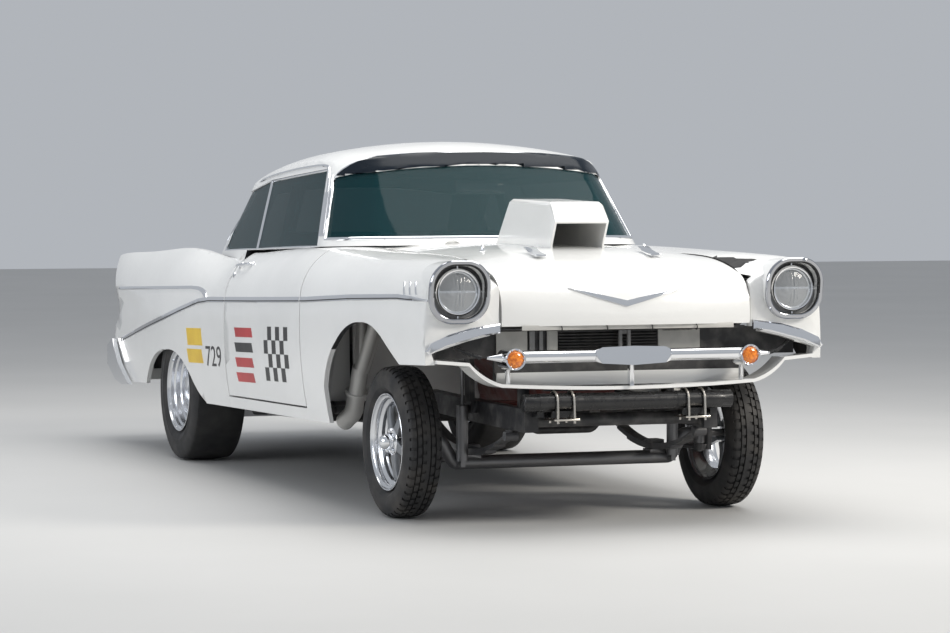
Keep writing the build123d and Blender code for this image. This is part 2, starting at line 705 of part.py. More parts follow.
REAR_POCKET_X = REAR_WHEEL_X + REAR_TYRE_WIDTH / 2 + 6
with BuildPart() as quarter_body:
    rear_slab = block((0, FAR), (DOOR_REAR + GAP, 4300), (0, FAR))
    sill_front, sill_rear = DOOR_FRONT - GAP + FIT, DOOR_REAR + GAP
    sill_outline = (
        (sill_front, 0), (sill_front, door_z(sill_front) - GAP),
        (sill_rear, door_z(sill_rear) - GAP), (sill_rear, 0),
    )
    sill_slab = side_outline(sill_outline, POST_FACE_X, FAR)
    add(outer_rear & rear_slab & ahead_of_tail())
    behind_post = block((0, FAR), (DOOR_REAR + GAP + SKIN, FAR * 4), (0, FAR))
    add(inner_rear & behind_post & ahead_of_tail(-TAIL_WALL, FIN_INNER_X - SKIN), mode=Mode.SUBTRACT)
    add(block((0, SEAM_X + GAP / 2), (2640, 4300), (0, FAR)), mode=Mode.SUBTRACT)
    add(block((0, BELT_X), (DOOR_REAR, 2660), (0, FAR)), mode=Mode.SUBTRACT)
    add((outer_front & sill_slab) + (outer_rear & sill_slab))
    add(under_sill, mode=Mode.SUBTRACT)
    add(arch_cutter.part, mode=Mode.SUBTRACT)
    axle_line = (WHEELBASE, REAR_TYRE_RADIUS - BODY_LIFT)
    wheel_room = rod((FIN_INNER_X, *axle_line), (REAR_POCKET_X, *axle_line), REAR_TYRE_RADIUS + 12)
    add(wheel_room, mode=Mode.SUBTRACT)
    mirror(about=Plane.YZ)
    deck_room = block((-SEAM_X - 5, SEAM_X + 5), (2700, TRUNK_FRONT - GAP), (0, FAR))
    add((deck_hull - body_middle(DECK_ROWS, SEAM_X + 50, SKIN)) & deck_room)
    add(block((-SEAM_X - 20, SEAM_X + 20), (4070, 4092), (347, TRUNK_LIP_Z - GAP)))
    add(block((-SEAM_X - 20, SEAM_X + 20), (TRUNK_FRONT - 40, TRUNK_FRONT - 20), (830, 945)))
    add(rod((-SEAM_X - 4, *TRUNK_AXIS), (SEAM_X + 4, *TRUNK_AXIS), TRUNK_SWEEP), mode=Mode.SUBTRACT)
    for place in STRAP_SIDES:
        add(Location(place) * lid_strap(TRUNK_AXIS, -1, TRUNK_FRONT - 30))
write(quarter_body, "quarter_body")

PAN_POINTS = ((-838, 524), (-700, 512), (-560, 424), (0, 406), (560, 424), (700, 512), (838, 524))
PAN_WALL = 14
PAN_FRONT = -728
PAN_DEPTH = 124
with BuildPart() as front_pan:
    with BuildSketch(Plane.XZ.offset(-PAN_FRONT)):
        with BuildLine():
            Line(PAN_POINTS[0], PAN_POINTS[1])
            bowed(PAN_POINTS[1], PAN_POINTS[2], -14)
            ThreePointArc(*PAN_POINTS[2:5])
            bowed(PAN_POINTS[4], PAN_POINTS[5], -14)
            Line(PAN_POINTS[5], PAN_POINTS[6])
            Line(PAN_POINTS[6], (838, 524 + PAN_WALL))
            Line((838, 524 + PAN_WALL), (700, 512 + PAN_WALL))
            bowed((700, 512 + PAN_WALL), (560, 424 + PAN_WALL), 12)
            ThreePointArc((560, 424 + PAN_WALL), (0, 406 + PAN_WALL), (-560, 424 + PAN_WALL))
            bowed((-560, 424 + PAN_WALL), (-700, 512 + PAN_WALL), 12)
            Line((-700, 512 + PAN_WALL), (-838, 524 + PAN_WALL))
            Line((-838, 524 + PAN_WALL), PAN_POINTS[0])
        make_face()
    extrude(amount=-PAN_DEPTH)
    add(block((-540, 540), (PAN_FRONT + PAN_DEPTH - 12, PAN_FRONT + PAN_DEPTH), (424, 480)))
write(front_pan, "front_pan")

BAR_Y = -742
BAR_Z = 546
BAR_RADIUS = 26
LAMP_X = 520
LAMP_RADIUS = 44
with BuildPart() as grille_bar:
    with BuildSketch(Plane.YZ.offset(-LAMP_X)):
        with Locations((BAR_Y, BAR_Z)):
            Circle(BAR_RADIUS)
    extrude(amount=2 * LAMP_X)
    with BuildSketch(Plane(origin=(0, BAR_Y + 5, BAR_Z), x_dir=(1, 0, 0), z_dir=(0, -1, 0))):
        with BuildLine():
            Polyline(
                (-165, 22), (-140, 34), (0, 38), (140, 34), (165, 22), (165, -22), (140, -32),
                (0, -40), (-140, -32), (-165, -22), close=True,
            )
        make_face()
    extrude(amount=36)
    for x in (LAMP_X, -LAMP_X):
        add(rod((x, BAR_Y + 70, BAR_Z - 8), (x, BAR_Y - 36, BAR_Z - 8), LAMP_RADIUS))
        add(rod((x, BAR_Y - 30, BAR_Z - 8), (x, BAR_Y - 40, BAR_Z - 8), LAMP_RADIUS - 8), mode=Mode.SUBTRACT)
        outward = (0, 90 if x > 0 else -90, 0)
        add(Location((x * 1.12, BAR_Y + 10, BAR_Z - 2), outward) * Cone(24, 6, 90, mode=Mode.PRIVATE))
        add(block((x - 8, x + 8), (BAR_Y + 50, BAR_Y + 66), (437, BAR_Z - 30)))
    add(block((-9, 9), (BAR_Y - 5, BAR_Y + 20), (421, BAR_Z - 20)))
write(grille_bar, "grille_bar")

CORE_Y = -560
with BuildPart() as radiator:
    panel_depth = (PAN_FRONT + PAN_DEPTH + FIT, CORE_Y - 24)
    add(block((-800, 800), panel_depth, (540, 655)))
    add(block((-545, 545), panel_depth, (432, 655)))
    add(block((-290, 290), (CORE_Y - 40, CORE_Y), (420, 650)), mode=Mode.SUBTRACT)
    add(block((-545, 545), (CORE_Y - 110, CORE_Y - 24), (648, 660)))
    add(block((-300, 300), (CORE_Y - 24, CORE_Y + 40), (400, 800)))
    for index in range(9):
        z = 430 + 26 * index
        add(block((-289, 289), (CORE_Y - 34, CORE_Y - 23), (z, z + 9)))
    add(block((-12, 12), (CORE_Y - 40, CORE_Y - 23), (415, 655)))
write(radiator, "radiator")

with BuildPart() as headlamps:
    for x in (HEADLAMP_X, -HEADLAMP_X):
        with BuildSketch(Plane.XZ.offset(-HEADLAMP_FACE - 20 + FIT)):
            with Locations((x, HEADLAMP_Z)):
                RectangleRounded(HOUSING_INNER[0] - 1, HOUSING_INNER[1] - 1, 87)
        extrude(amount=8)
        with BuildSketch(Plane.XZ.offset(-HEADLAMP_FACE - 13)):
            with Locations((x, HEADLAMP_Z)):
                Circle(100)
        extrude(amount=26)
        chamfer(headlamps.faces().sort_by(Axis.Y)[0].edges(), 7)
write(headlamps, "headlamps")

BUMPER_TIPS = (
    (3735, 334), (3870, 402), (3942, 444), (4018, 523), (4060, 569), (4131, 542), (4232, 514), (4297, 490),
    (4230, 458), (4137, 429), (4003, 356), (3870, 331),
)
TIP_INNER_X = 914
BODY_END = 4110
with BuildPart() as rear_bumper:
    with BuildSketch(Plane.XY.offset(300)):
        with BuildLine():
            Polyline(
                (TIP_INNER_X, 3700), (936, 3760), (940, 4150), (912, 4246), (866, 4300), (838, 4300),
                (838, BODY_END + 4), (TIP_INNER_X, BODY_END + 4), close=True,
            )
        make_face()
    extrude(amount=300)
    add(side_outline(BUMPER_TIPS, 800, 1000), mode=Mode.INTERSECT)
    mirror(about=Plane.YZ)
    with BuildSketch(Plane.XY.offset(372)):
        with BuildLine():
            Polyline((-862, 4240), (-300, 4262), (300, 4262), (862, 4240), (862, 4272), (310, 4290),
                     (-310, 4290), (-862, 4272), close=True)
        make_face()
    extrude(amount=126)
    add(both_sides((380, 410), (4092 + FIT, 4270), (400, 440)))
write(rear_bumper, "rear_bumper")

LAMP_LENS_X = 838
with BuildPart() as tail_lamps:
    with BuildSketch(Plane.XZ.offset(-3970)):
        with Locations((LAMP_LENS_X, 770)):
            RectangleRounded(74, 134, 34)
    extrude(amount=-64)
    with BuildSketch(Plane.XZ.offset(-4060)):
        with Locations((LAMP_LENS_X, 586)):
            Circle(27)
    extrude(amount=-62)
    add(ahead_of_tail(FIT), mode=Mode.SUBTRACT)
    mirror(about=Plane.YZ)
write(tail_lamps, "tail_lamps")

DECK_TOP = 640
with BuildPart() as floor_pan:
    floor_level = (FLOOR_Z - FLOOR_WALL, FLOOR_Z)
    tunnel_half = TUNNEL_INNER + FLOOR_WALL
    cross_wall = (FLOOR_END, FLOOR_END + FLOOR_WALL)
    add(block((FIT - POST_FACE_X, POST_FACE_X - FIT), (FIREWALL_Y[0], DOOR_REAR), floor_level))
    add(block((FIT - BELT_X, BELT_X - FIT), (DOOR_REAR - 1, FLOOR_END + 1), floor_level))
    tunnel_along = (FIREWALL_Y[1] + 1, FLOOR_END + 1)
    add(block((-tunnel_half, tunnel_half), tunnel_along, (FLOOR_Z, TUNNEL_TOP + FLOOR_WALL)))
    add(block((-760, 760), cross_wall, (floor_level[0], DECK_TOP)))
    add(block((-TUNNEL_INNER, TUNNEL_INNER), (0, 2300), (0, TUNNEL_TOP)), mode=Mode.SUBTRACT)
write(floor_pan, "floor_pan")

WELL_FRONT = 3684
with BuildPart() as trunk_floor:
    deck_front = FLOOR_END + FLOOR_WALL + FIT
    add(block((-560, 560), (deck_front, WELL_FRONT + FLOOR_WALL), (DECK_TOP - FLOOR_WALL, DECK_TOP)))
    add(both_sides((545, 560), (deck_front, 3620), (420, 740)))
    add(both_sides((545, 880), (2450, 3500), (724, 740)))
    add(both_sides((545, 860), (3484, 3500), (420, 740)))
    add(both_sides((545, 860), (2450, 2466), (420, 740)))
    add(block((-560, 560), (WELL_FRONT, WELL_FRONT + FLOOR_WALL), (380, DECK_TOP)))
    add(block((-560, 560), (WELL_FRONT, 4070 - FIT), (380, 396)))
write(trunk_floor, "trunk_floor")

with BuildPart() as inner_fenders:
    apron_front, apron_rear = CORE_Y - 24 + FIT, FIREWALL_Y[0] - FIT
    apron = (
        (apron_front, 690), (-60, 700), (20, 764), (apron_rear, 764), (apron_rear, 900), (0, 870),
        (apron_front, 780),
    )
    for x in (SEAM_X - 16, -SEAM_X):
        add(side_outline(apron, x, x + 16))
write(inner_fenders, "inner_fenders")

RAIL_X = 400
RAIL_WIDTH = 60
RAIL_JOINT = 2150
LOW_RAIL = (205, 275)
RAIL_LINE = (
    (-640, 330), (0, 352), (560, 380), (740, LOW_RAIL[1]), (RAIL_JOINT, LOW_RAIL[1]),
    (RAIL_JOINT, LOW_RAIL[0]), (700, LOW_RAIL[0]), (540, 290), (0, 262), (-640, 235),
)
REAR_RAIL_LINE = (
    (RAIL_JOINT + FIT, LOW_RAIL[1]), (2215, LOW_RAIL[1]), (2450, 500), (3300, 500), (3620, 340),
    (4060, 340), (4060, 262), (3600, 262), (3290, 410), (2480, 410), (2228, LOW_RAIL[0]),
    (RAIL_JOINT + FIT, LOW_RAIL[0]),
)
CROSS_TUBE_RADIUS = 28
OUTRIGGER_Y = (900, 1800)
OUTRIGGER_Z = (236, 266)
TOWER_X = 465 - FIT
TOWER_Y = (-102, -36)
with BuildPart() as chassis_frame:
    for x in (RAIL_X, -RAIL_X):
        add(side_outline(RAIL_LINE, x - RAIL_WIDTH / 2, x + RAIL_WIDTH / 2))
    for y, z in ((-560, 280), (1150, 240), (1700, 240)):
        add(rod((-RAIL_X, y, z), (RAIL_X, y, z), CROSS_TUBE_RADIUS))
    sump_bend = (
        (-RAIL_X, 0, 310), (-210, 0, 300), (-130, 0, 215), (130, 0, 215), (210, 0, 300), (RAIL_X, 0, 310),
    )
    add(bent_tube(sump_bend, 40, 18))
    side_member = (POST_FACE_X - 60, POST_FACE_X - 30)
    for y in OUTRIGGER_Y:
        along = (y, y + 40)
        add(both_sides((RAIL_X, POST_FACE_X - 40), along, OUTRIGGER_Z))
        add(both_sides(side_member, along, (OUTRIGGER_Z[0], FLOOR_Z - FLOOR_WALL - FIT)))
    add(both_sides(side_member, (OUTRIGGER_Y[0], OUTRIGGER_Y[1] + 40), OUTRIGGER_Z))
    add(both_sides((RAIL_X + RAIL_WIDTH / 2 - 1, TOWER_X - 6), TOWER_Y, (300, 346)))
    add(both_sides((TOWER_X - 22, TOWER_X), TOWER_Y, (345, 545)))
    add(both_sides((RAIL_X - 15, RAIL_X + 15), (-580, -520), (330, 412 - FIT)))
write(chassis_frame, "chassis_frame")

with BuildPart() as rear_rails:
    for x in (RAIL_X, -RAIL_X):
        add(side_outline(REAR_RAIL_LINE, x - RAIL_WIDTH / 2, x + RAIL_WIDTH / 2))
    for y, z in ((2480, 455), (3450, 370), (3900, 302)):
        add(rod((-RAIL_X, y, z), (RAIL_X, y, z), CROSS_TUBE_RADIUS))
write(rear_rails, "rear_rails")

CROSSBAR_Y = -700
CROSSBAR_Z = 358
CROSSBAR_RADIUS = 36
CROSSBAR_END = 460
TOW_END = 62
SLEEVE_X = (210, CROSSBAR_END - TOW_END)
with BuildPart() as front_crossbar:
    left_end, right_end = ((x, CROSSBAR_Y, CROSSBAR_Z) for x in (CROSSBAR_END, -CROSSBAR_END))
    add(rod(left_end, right_end, CROSSBAR_RADIUS))
    for side in (1, -1):
        inner, outer = ((side * x, CROSSBAR_Y, CROSSBAR_Z) for x in SLEEVE_X)
        add(rod(inner, outer, CROSSBAR_RADIUS + 1.5))
    for x in (-290, 290):
        for offset in (-36, 36):
            add(
                Location((x + offset, CROSSBAR_Y, CROSSBAR_Z), (0, 90, 0))
                * Torus(CROSSBAR_RADIUS + 5, 6, mode=Mode.PRIVATE)
            )
        add(block((x - 50, x + 50), (CROSSBAR_Y - 30, CROSSBAR_Y + 30), (CROSSBAR_Z - 62, CROSSBAR_Z - 34)))
    bracket = (SLEEVE_X[1] - 28, SLEEVE_X[1])
    add(both_sides(bracket, (CROSSBAR_Y, -640 - FIT), (CROSSBAR_Z - 60, CROSSBAR_Z + 12)))
write(front_crossbar, "front_crossbar")

HEAD_OUTER = (330, 560)
HEAD_UPPER = (240, 720)
with BuildPart() as engine_block:
    with BuildSketch(Plane.XZ.offset(200)):
        with BuildLine():
            Polyline(
                (-120, 300), (-170, 420), (-HEAD_OUTER[0], HEAD_OUTER[1]), (-HEAD_UPPER[0], HEAD_UPPER[1]),
                (-110, 660), (-110, 740), (110, 740), (110, 660), HEAD_UPPER, HEAD_OUTER, (170, 420),
                (120, 300), close=True,
            )
        make_face()
    extrude(amount=-620)
    add(rod((0, -300, 400), (0, -199, 400), 90))
    add(rod((0, 419, 400), (0, 640, 400), 150))
    add(rod((0, 640, 400), (0, 1180, 380), 82))
    add(both_sides((100, RAIL_X - RAIL_WIDTH / 2 - FIT), (100, 160), (300, 340)))
write(engine_block, "engine_block")

HEADER_RADIUS = 26
COLLECTOR_RADIUS = 37
FLANGE_BOLT_CIRCLE = 45
FLANGE_HOLE = 3.5
FLANGE_WALL = 12
COLLECTOR_X = 745
MERGE = (503, 480)
FLANGE_POINT = (559, 368)
# One row per tube. Columns: y of the port, x and y of the top of the down pipe.
HEADER_TUBES = ((60, 745, 262), (150, 700, 335), (240, 700, 410), (330, 745, 474))
with BuildPart() as headers:
    for port_y, top_x, top_y in HEADER_TUBES:
        add(
            bent_tube(
                (
                    (316, port_y, 612), (480, (port_y + top_y) / 2, 690), (top_x, top_y, 722),
                    (COLLECTOR_X + (top_x - COLLECTOR_X) * 0.3, MERGE[0] - 6, MERGE[1] - 10),
                ),
                44,
                HEADER_RADIUS,
            )
        )
    face_run = Vector(HEAD_UPPER[0] - HEAD_OUTER[0], 0, HEAD_UPPER[1] - HEAD_OUTER[1])
    port_face = Plane(
        origin=(HEAD_OUTER[0], 195, HEAD_OUTER[1]),
        x_dir=face_run,
        z_dir=(face_run.Z, 0, -face_run.X),
    )
    add(
        port_face * Location((55, 0, FIT))
        * Box(80, 350, 14, align=(Align.CENTER, Align.CENTER, Align.MIN), mode=Mode.PRIVATE)
    )
    pipe_run = Vector(0, FLANGE_POINT[0] - MERGE[0], FLANGE_POINT[1] - MERGE[1])
    outlet = Plane(origin=(COLLECTOR_X, *FLANGE_POINT), x_dir=(1, 0, 0), z_dir=-pipe_run)
    up_pipe = (Align.CENTER, Align.CENTER, Align.MIN)
    add(outlet * Cylinder(COLLECTOR_RADIUS, pipe_run.length + 6, align=up_pipe, mode=Mode.PRIVATE))
    add(outlet * Cylinder(FLANGE_BOLT_CIRCLE + 8, FLANGE_WALL, align=up_pipe, mode=Mode.PRIVATE))
    add(
        outlet * Cylinder(COLLECTOR_RADIUS - 4, 70, align=up_pipe, mode=Mode.PRIVATE),
        mode=Mode.SUBTRACT,
    )
    with Locations(outlet * Location((0, 0, FLANGE_WALL / 2))):
        with PolarLocations(FLANGE_BOLT_CIRCLE, 3):
            Cylinder(FLANGE_HOLE, FLANGE_WALL + 2, mode=Mode.SUBTRACT)
    mirror(about=Plane.YZ)
write(headers, "headers")

# The pipe ends turn rearwards below the flanges and are open.
TURNOUT_RADIUS = 40
with BuildPart() as header_turnouts:
    pipe_step = pipe_run.normalized() * FIT
    turnout_line = (
        (COLLECTOR_X, FLANGE_POINT[0] + pipe_step.Y, FLANGE_POINT[1] + pipe_step.Z),
        (COLLECTOR_X, 600, 286),
        (COLLECTOR_X, 724, 243),
    )
    add(bent_tube(turnout_line, 60, TURNOUT_RADIUS))
    add(bent_tube(turnout_line, 60, TURNOUT_RADIUS - 4), mode=Mode.SUBTRACT)
    mirror(about=Plane.YZ)
write(header_turnouts, "header_turnouts")

# Running gear, drawn level on the floor.
AXLE_TUBE = 28
AXLE_DROP = 98
AXLE_Z = FRONT_TYRE_RADIUS
SPRING_X = 425
SHOCK_EAR_TOP = AXLE_Z - AXLE_DROP + 12
with BuildPart() as front_axle:
    add(
        bent_tube(
            (
                (-KINGPIN_X + 20, 0, AXLE_Z), (-560, 0, AXLE_Z), (-500, 0, AXLE_Z - AXLE_DROP),
                (500, 0, AXLE_Z - AXLE_DROP), (560, 0, AXLE_Z), (KINGPIN_X - 20, 0, AXLE_Z),
            ),
            30,
            AXLE_TUBE,
        )
    )
    for x in (KINGPIN_X, -KINGPIN_X):
        add(rod((x, 0, AXLE_Z - 42), (x, 0, AXLE_Z + 42), 24))
        add(rod((x, 0, AXLE_Z - 80), (x, 0, AXLE_Z + 80), 10))
    pad_height = (AXLE_Z - AXLE_DROP + 20, AXLE_Z - AXLE_DROP + 36)
    add(both_sides((SPRING_X - 34, SPRING_X + 34), (-40, 40), pad_height))
    add(both_sides((475, 495), (-75, -15), (SHOCK_EAR_TOP - 24, SHOCK_EAR_TOP)))
write(front_axle, "front_axle", AXLE_PLACE)

LEAF = 8
FRONT_EYE_Z = 371
FRONT_EYE_Y = 470
FRONT_RISE = 90
LEAF_HALF_WIDTH = 25
SHOCK_X = 485
SHOCK_Y = -60
PAD_TOP = AXLE_Z - AXLE_DROP + 36


def rail_underside(y):
    """Height above the floor of the chassis rail's underside, y behind the front axle."""
    (front_y, front_z), (middle_y, middle_z), (rear_y, rear_z) = RAIL_LINE[-1], RAIL_LINE[-2], RAIL_LINE[-3]
    if y < middle_y:
        level = front_z + (middle_z - front_z) * (y - front_y) / (middle_y - front_y)
    else:
        level = middle_z + (rear_z - middle_z) * (y - middle_y) / (rear_y - middle_y)
    return (BODY_PLACE * Location((0, y, level))).position.Z


with BuildPart() as front_suspension:
    for x in (SPRING_X, -SPRING_X):
        for index, reach in enumerate((460, 350, 240)):
            z = PAD_TOP + FIT + (2 - index) * (LEAF + 1)
            rise = FRONT_RISE * (reach / 460) ** 2
            with BuildSketch(Plane.YZ.offset(x - LEAF_HALF_WIDTH)):
                with BuildLine():
                    ThreePointArc((-reach, z + rise), (0, z), (reach, z + rise))
                    Line((reach, z + rise), (reach, z + rise + LEAF + 2))
                    top = z + LEAF + 2
                    ThreePointArc((reach, top + rise), (0, top), (-reach, top + rise))
                    Line((-reach, z + rise + LEAF + 2), (-reach, z + rise))
                make_face()
            extrude(amount=2 * LEAF_HALF_WIDTH)
        for y in (-FRONT_EYE_Y, FRONT_EYE_Y):
            add(rod((x - 28, y, FRONT_EYE_Z), (x + 28, y, FRONT_EYE_Z), 20))
            add(block((x - 20, x), (y - 12, y + 12), (FRONT_EYE_Z, rail_underside(y) - 1.5 * FIT)))
        add(block((x - 32, x + 32), (-36, 36), (PAD_TOP + 28, PAD_TOP + 42)))
    for x in (SHOCK_X, -SHOCK_X):
        add(rod((x, SHOCK_Y, SHOCK_EAR_TOP + FIT), (x, SHOCK_Y, 470), 25))
        add(rod((x, SHOCK_Y, 470), (x, SHOCK_Y, 640), 7))
        add(rod((x - 20, SHOCK_Y, 646), (x + 20, SHOCK_Y, 646), 12))
write(front_suspension, "front_suspension", AXLE_PLACE)

KNUCKLE_INNER = KINGPIN_X
SPINDLE_TIP = FRONT_WHEEL_X + 40
STEER_ARM_Y = 150
STEER_ARM_X = 600
TIE_Z = AXLE_Z - 62
with BuildPart() as knuckle_left:
    for z in (AXLE_Z - 60, AXLE_Z + 60):
        add(rod((KINGPIN_X, 0, z - 15), (KINGPIN_X, 0, z + 15), 22))
        add(block((KINGPIN_X, KINGPIN_X + 50), (-18, 18), (z - 12, z + 12)))
    add(block((KINGPIN_X + 30, KINGPIN_X + 50), (-22, 22), (AXLE_Z - 72, AXLE_Z + 72)))
    for z in (AXLE_Z - 60, AXLE_Z + 60):
        add(rod((KINGPIN_X, 0, z - 30), (KINGPIN_X, 0, z + 30), 10 + FIT / 3), mode=Mode.SUBTRACT)
    add(rod((KINGPIN_X + 45, 0, AXLE_Z), (SPINDLE_TIP, 0, AXLE_Z), 16))
    add(rod((KINGPIN_X, 18, TIE_Z), (STEER_ARM_X, STEER_ARM_Y, TIE_Z), 11))
    add(rod((STEER_ARM_X, STEER_ARM_Y, TIE_Z - 14), (STEER_ARM_X, STEER_ARM_Y, TIE_Z + 14), 16))
write(knuckle_left, "knuckle_left", AXLE_PLACE)

with BuildPart() as knuckle_right:
    mirror(knuckle_left.part, about=Plane.YZ)
write(knuckle_right, "knuckle_right", AXLE_PLACE)

with BuildPart() as tie_rod:
    add(rod((-STEER_ARM_X, STEER_ARM_Y, TIE_Z - 32), (STEER_ARM_X, STEER_ARM_Y, TIE_Z - 32), 13))
    for x in (STEER_ARM_X, -STEER_ARM_X):
        add(rod((x, STEER_ARM_Y, TIE_Z - 45), (x, STEER_ARM_Y, TIE_Z - 14 - FIT), 15))
write(tie_rod, "tie_rod", AXLE_PLACE)

REAR_AXLE_Z = REAR_TYRE_RADIUS
REAR_SPRING_X = 500
REAR_HUB_X = REAR_WHEEL_X - 70
PINION_Y = WHEELBASE - 250
with BuildPart() as rear_axle:
    add(rod((-REAR_HUB_X, WHEELBASE, REAR_AXLE_Z), (REAR_HUB_X, WHEELBASE, REAR_AXLE_Z), 40))
    add(Location((0, WHEELBASE, REAR_AXLE_Z)) * Sphere(145, mode=Mode.PRIVATE))
    add(rod((0, PINION_Y, REAR_AXLE_Z), (0, WHEELBASE - 100, REAR_AXLE_Z), 50))
    for x in (REAR_HUB_X, -REAR_HUB_X):
        tip = x + math.copysign(62, x)
        add(rod((x - math.copysign(14, x), WHEELBASE, REAR_AXLE_Z), (x, WHEELBASE, REAR_AXLE_Z), 90))
        add(rod((x, WHEELBASE, REAR_AXLE_Z), (tip, WHEELBASE, REAR_AXLE_Z), 20))
    pad_along = (WHEELBASE - 60, WHEELBASE + 60)
    add(both_sides((REAR_SPRING_X - 30, REAR_SPRING_X + 30), pad_along, (REAR_AXLE_Z - 56, REAR_AXLE_Z - 30)))
write(rear_axle, "rear_axle", AXLE_PLACE)

REAR_PAD = REAR_AXLE_Z - 56
REAR_EYE_Z = 324
with BuildPart() as rear_suspension:
    for x in (REAR_SPRING_X, -REAR_SPRING_X):
        for index, reach in enumerate((680, 500, 330)):
            z = REAR_PAD - FIT - (index + 1) * (LEAF + 1) - 2
            rise = 35 * (reach / 680) ** 2
            with BuildSketch(Plane.YZ.offset(x - LEAF_HALF_WIDTH)):
                with BuildLine():
                    ThreePointArc((WHEELBASE - reach, z + rise), (WHEELBASE, z), (WHEELBASE + reach, z + rise))
                    Line((WHEELBASE + reach, z + rise), (WHEELBASE + reach, z + rise + LEAF + 3))
                    ThreePointArc(
                        (WHEELBASE + reach, z + rise + LEAF + 3), (WHEELBASE, z + LEAF + 3),
                        (WHEELBASE - reach, z + rise + LEAF + 3),
                    )
                    Line((WHEELBASE - reach, z + rise + LEAF + 3), (WHEELBASE - reach, z + rise))
                make_face()
            extrude(amount=2 * LEAF_HALF_WIDTH)
        for y in (WHEELBASE - 690, WHEELBASE + 690):
            add(rod((x - 28, y, REAR_EYE_Z), (x + 28, y, REAR_EYE_Z), 22))
            inner = x - math.copysign(70, x)
            add(rod((inner, y, REAR_EYE_Z), (x, y, REAR_EYE_Z), 9))
        add(block((x - 24, x + 24), (WHEELBASE - 60, WHEELBASE + 60), (REAR_PAD - 46, REAR_PAD - 28)))
        rod_front = (x, 2210, 286)
        add(rod((x, WHEELBASE - 40, REAR_PAD - 60), rod_front, 16))
        add(rod((math.copysign(RAIL_X + RAIL_WIDTH / 2 + FIT, x), 2210, 286), rod_front, 12))
write(rear_suspension, "rear_suspension", AXLE_PLACE)

with BuildPart() as driveshaft:
    add(rod((0, PINION_Y, REAR_AXLE_Z), (0, 1183.5, 450), 38))
    pinion_room = block((-50, 50), (PINION_Y - FIT, PINION_Y + 50), (REAR_AXLE_Z - 60, REAR_AXLE_Z + 60))
    add(pinion_room, mode=Mode.SUBTRACT)
write(driveshaft, "driveshaft", AXLE_PLACE)

with BuildPart() as fuel_tank:
    add(block((-360, 360), (3710, 4050), (150, 270)))
    fillet(fuel_tank.edges().filter_by(Axis.Z), 50)
    add(both_sides((300, 340), (3760, 3800), (270, 380 - FIT)))
    add(both_sides((300, 340), (3960, 4000), (270, 380 - FIT)))
write(fuel_tank, "fuel_tank")

# Inside the cabin.
WHEEL_CENTRE = (370, 1330, 950)
COLUMN_FOOT = (370, 930, 810)
COLUMN_RADIUS = 18
with BuildPart() as dashboard:
    with BuildSketch(Plane.YZ.offset(-POST_INNER_X + FIT)):
        with BuildLine():
            Polyline(
                (FIREWALL_Y[1] + FIT, 970), (1010, 966), (1040, 936), (1030, 860), (985, 780), (950, 780),
                (985, 865), (1000, 926), (980, 946), (FIREWALL_Y[1] + FIT, 951), close=True,
            )
        make_face()
    extrude(amount=2 * (POST_INNER_X - FIT))
    add(rod((370, 1010, 908), (370, 1046, 908), 38))
    add(rod((200, 1010, 900), (200, 1043, 900), 34))
    add(rod(COLUMN_FOOT, WHEEL_CENTRE, COLUMN_RADIUS + FIT), mode=Mode.SUBTRACT)
write(dashboard, "dashboard")

with BuildPart() as steering_wheel:
    with BuildSketch(Plane(origin=WHEEL_CENTRE, x_dir=(1, 0, 0), z_dir=(0, 1, 0.35))):
        Circle(40)
    extrude(amount=10, both=True)
    column_axis = Vector(0, 1, 0.35).normalized()
    centre = Vector(*WHEEL_CENTRE)
    add(rod(COLUMN_FOOT, WHEEL_CENTRE, COLUMN_RADIUS))
    add(Plane(origin=centre, x_dir=(1, 0, 0), z_dir=column_axis) * Torus(190, 13, mode=Mode.PRIVATE))
    wheel_plane = Plane(origin=centre, x_dir=(1, 0, 0), z_dir=column_axis)
    for turn in (0, 120, 240):
        spoke = wheel_plane.location * Location((0, 0, 0), (0, 0, turn + 90)) * Location((95, 0, 0))
        add(spoke * Box(190, 26, 8, mode=Mode.PRIVATE))
write(steering_wheel, "steering_wheel")

with BuildPart() as seats:
    for x in (370, -370):
        with BuildSketch(Plane.YZ.offset(x - 230)):
            with BuildLine():
                Polyline(
                    (1420, FLOOR_Z + FIT), (1400, 540), (1440, 575), (1830, 545), (1960, 1090), (2010, 1100),
                    (2050, 1075), (1930, 520), (1880, FLOOR_Z + FIT), close=True,
                )
            make_face()
        extrude(amount=460)
write(seats, "seats")

CAGE_RADIUS = 22
CAGE_FOOT_RADIUS = 45
with BuildPart() as roll_cage:
    add(
        bent_tube(
            (
                (-600, 2080, FLOOR_Z + FIT), (-600, 2080, 1020), (-500, 2110, 1385),
                (500, 2110, 1385), (600, 2080, 1020), (600, 2080, FLOOR_Z + FIT),
            ),
            90,
            CAGE_RADIUS,
        )
    )
    for x in (482, -482):
        add(rod((x, 2108, 1350), (x, 2700, 660), CAGE_RADIUS))
        add(rod((x, 2700, DECK_TOP + FIT), (x, 2700, DECK_TOP + 20), CAGE_FOOT_RADIUS))
    add(rod((-596, 2080, 980), (596, 2080, 980), CAGE_RADIUS))
write(roll_cage, "roll_cage")

# Wheels and tyres, each drawn about its own axle line with the car's outer side towards +X.
RIM_RADIUS = 190
RIM_LIP = 206
RIM_FLANGE = 16
BEAD_RADIUS = RIM_RADIUS + 1


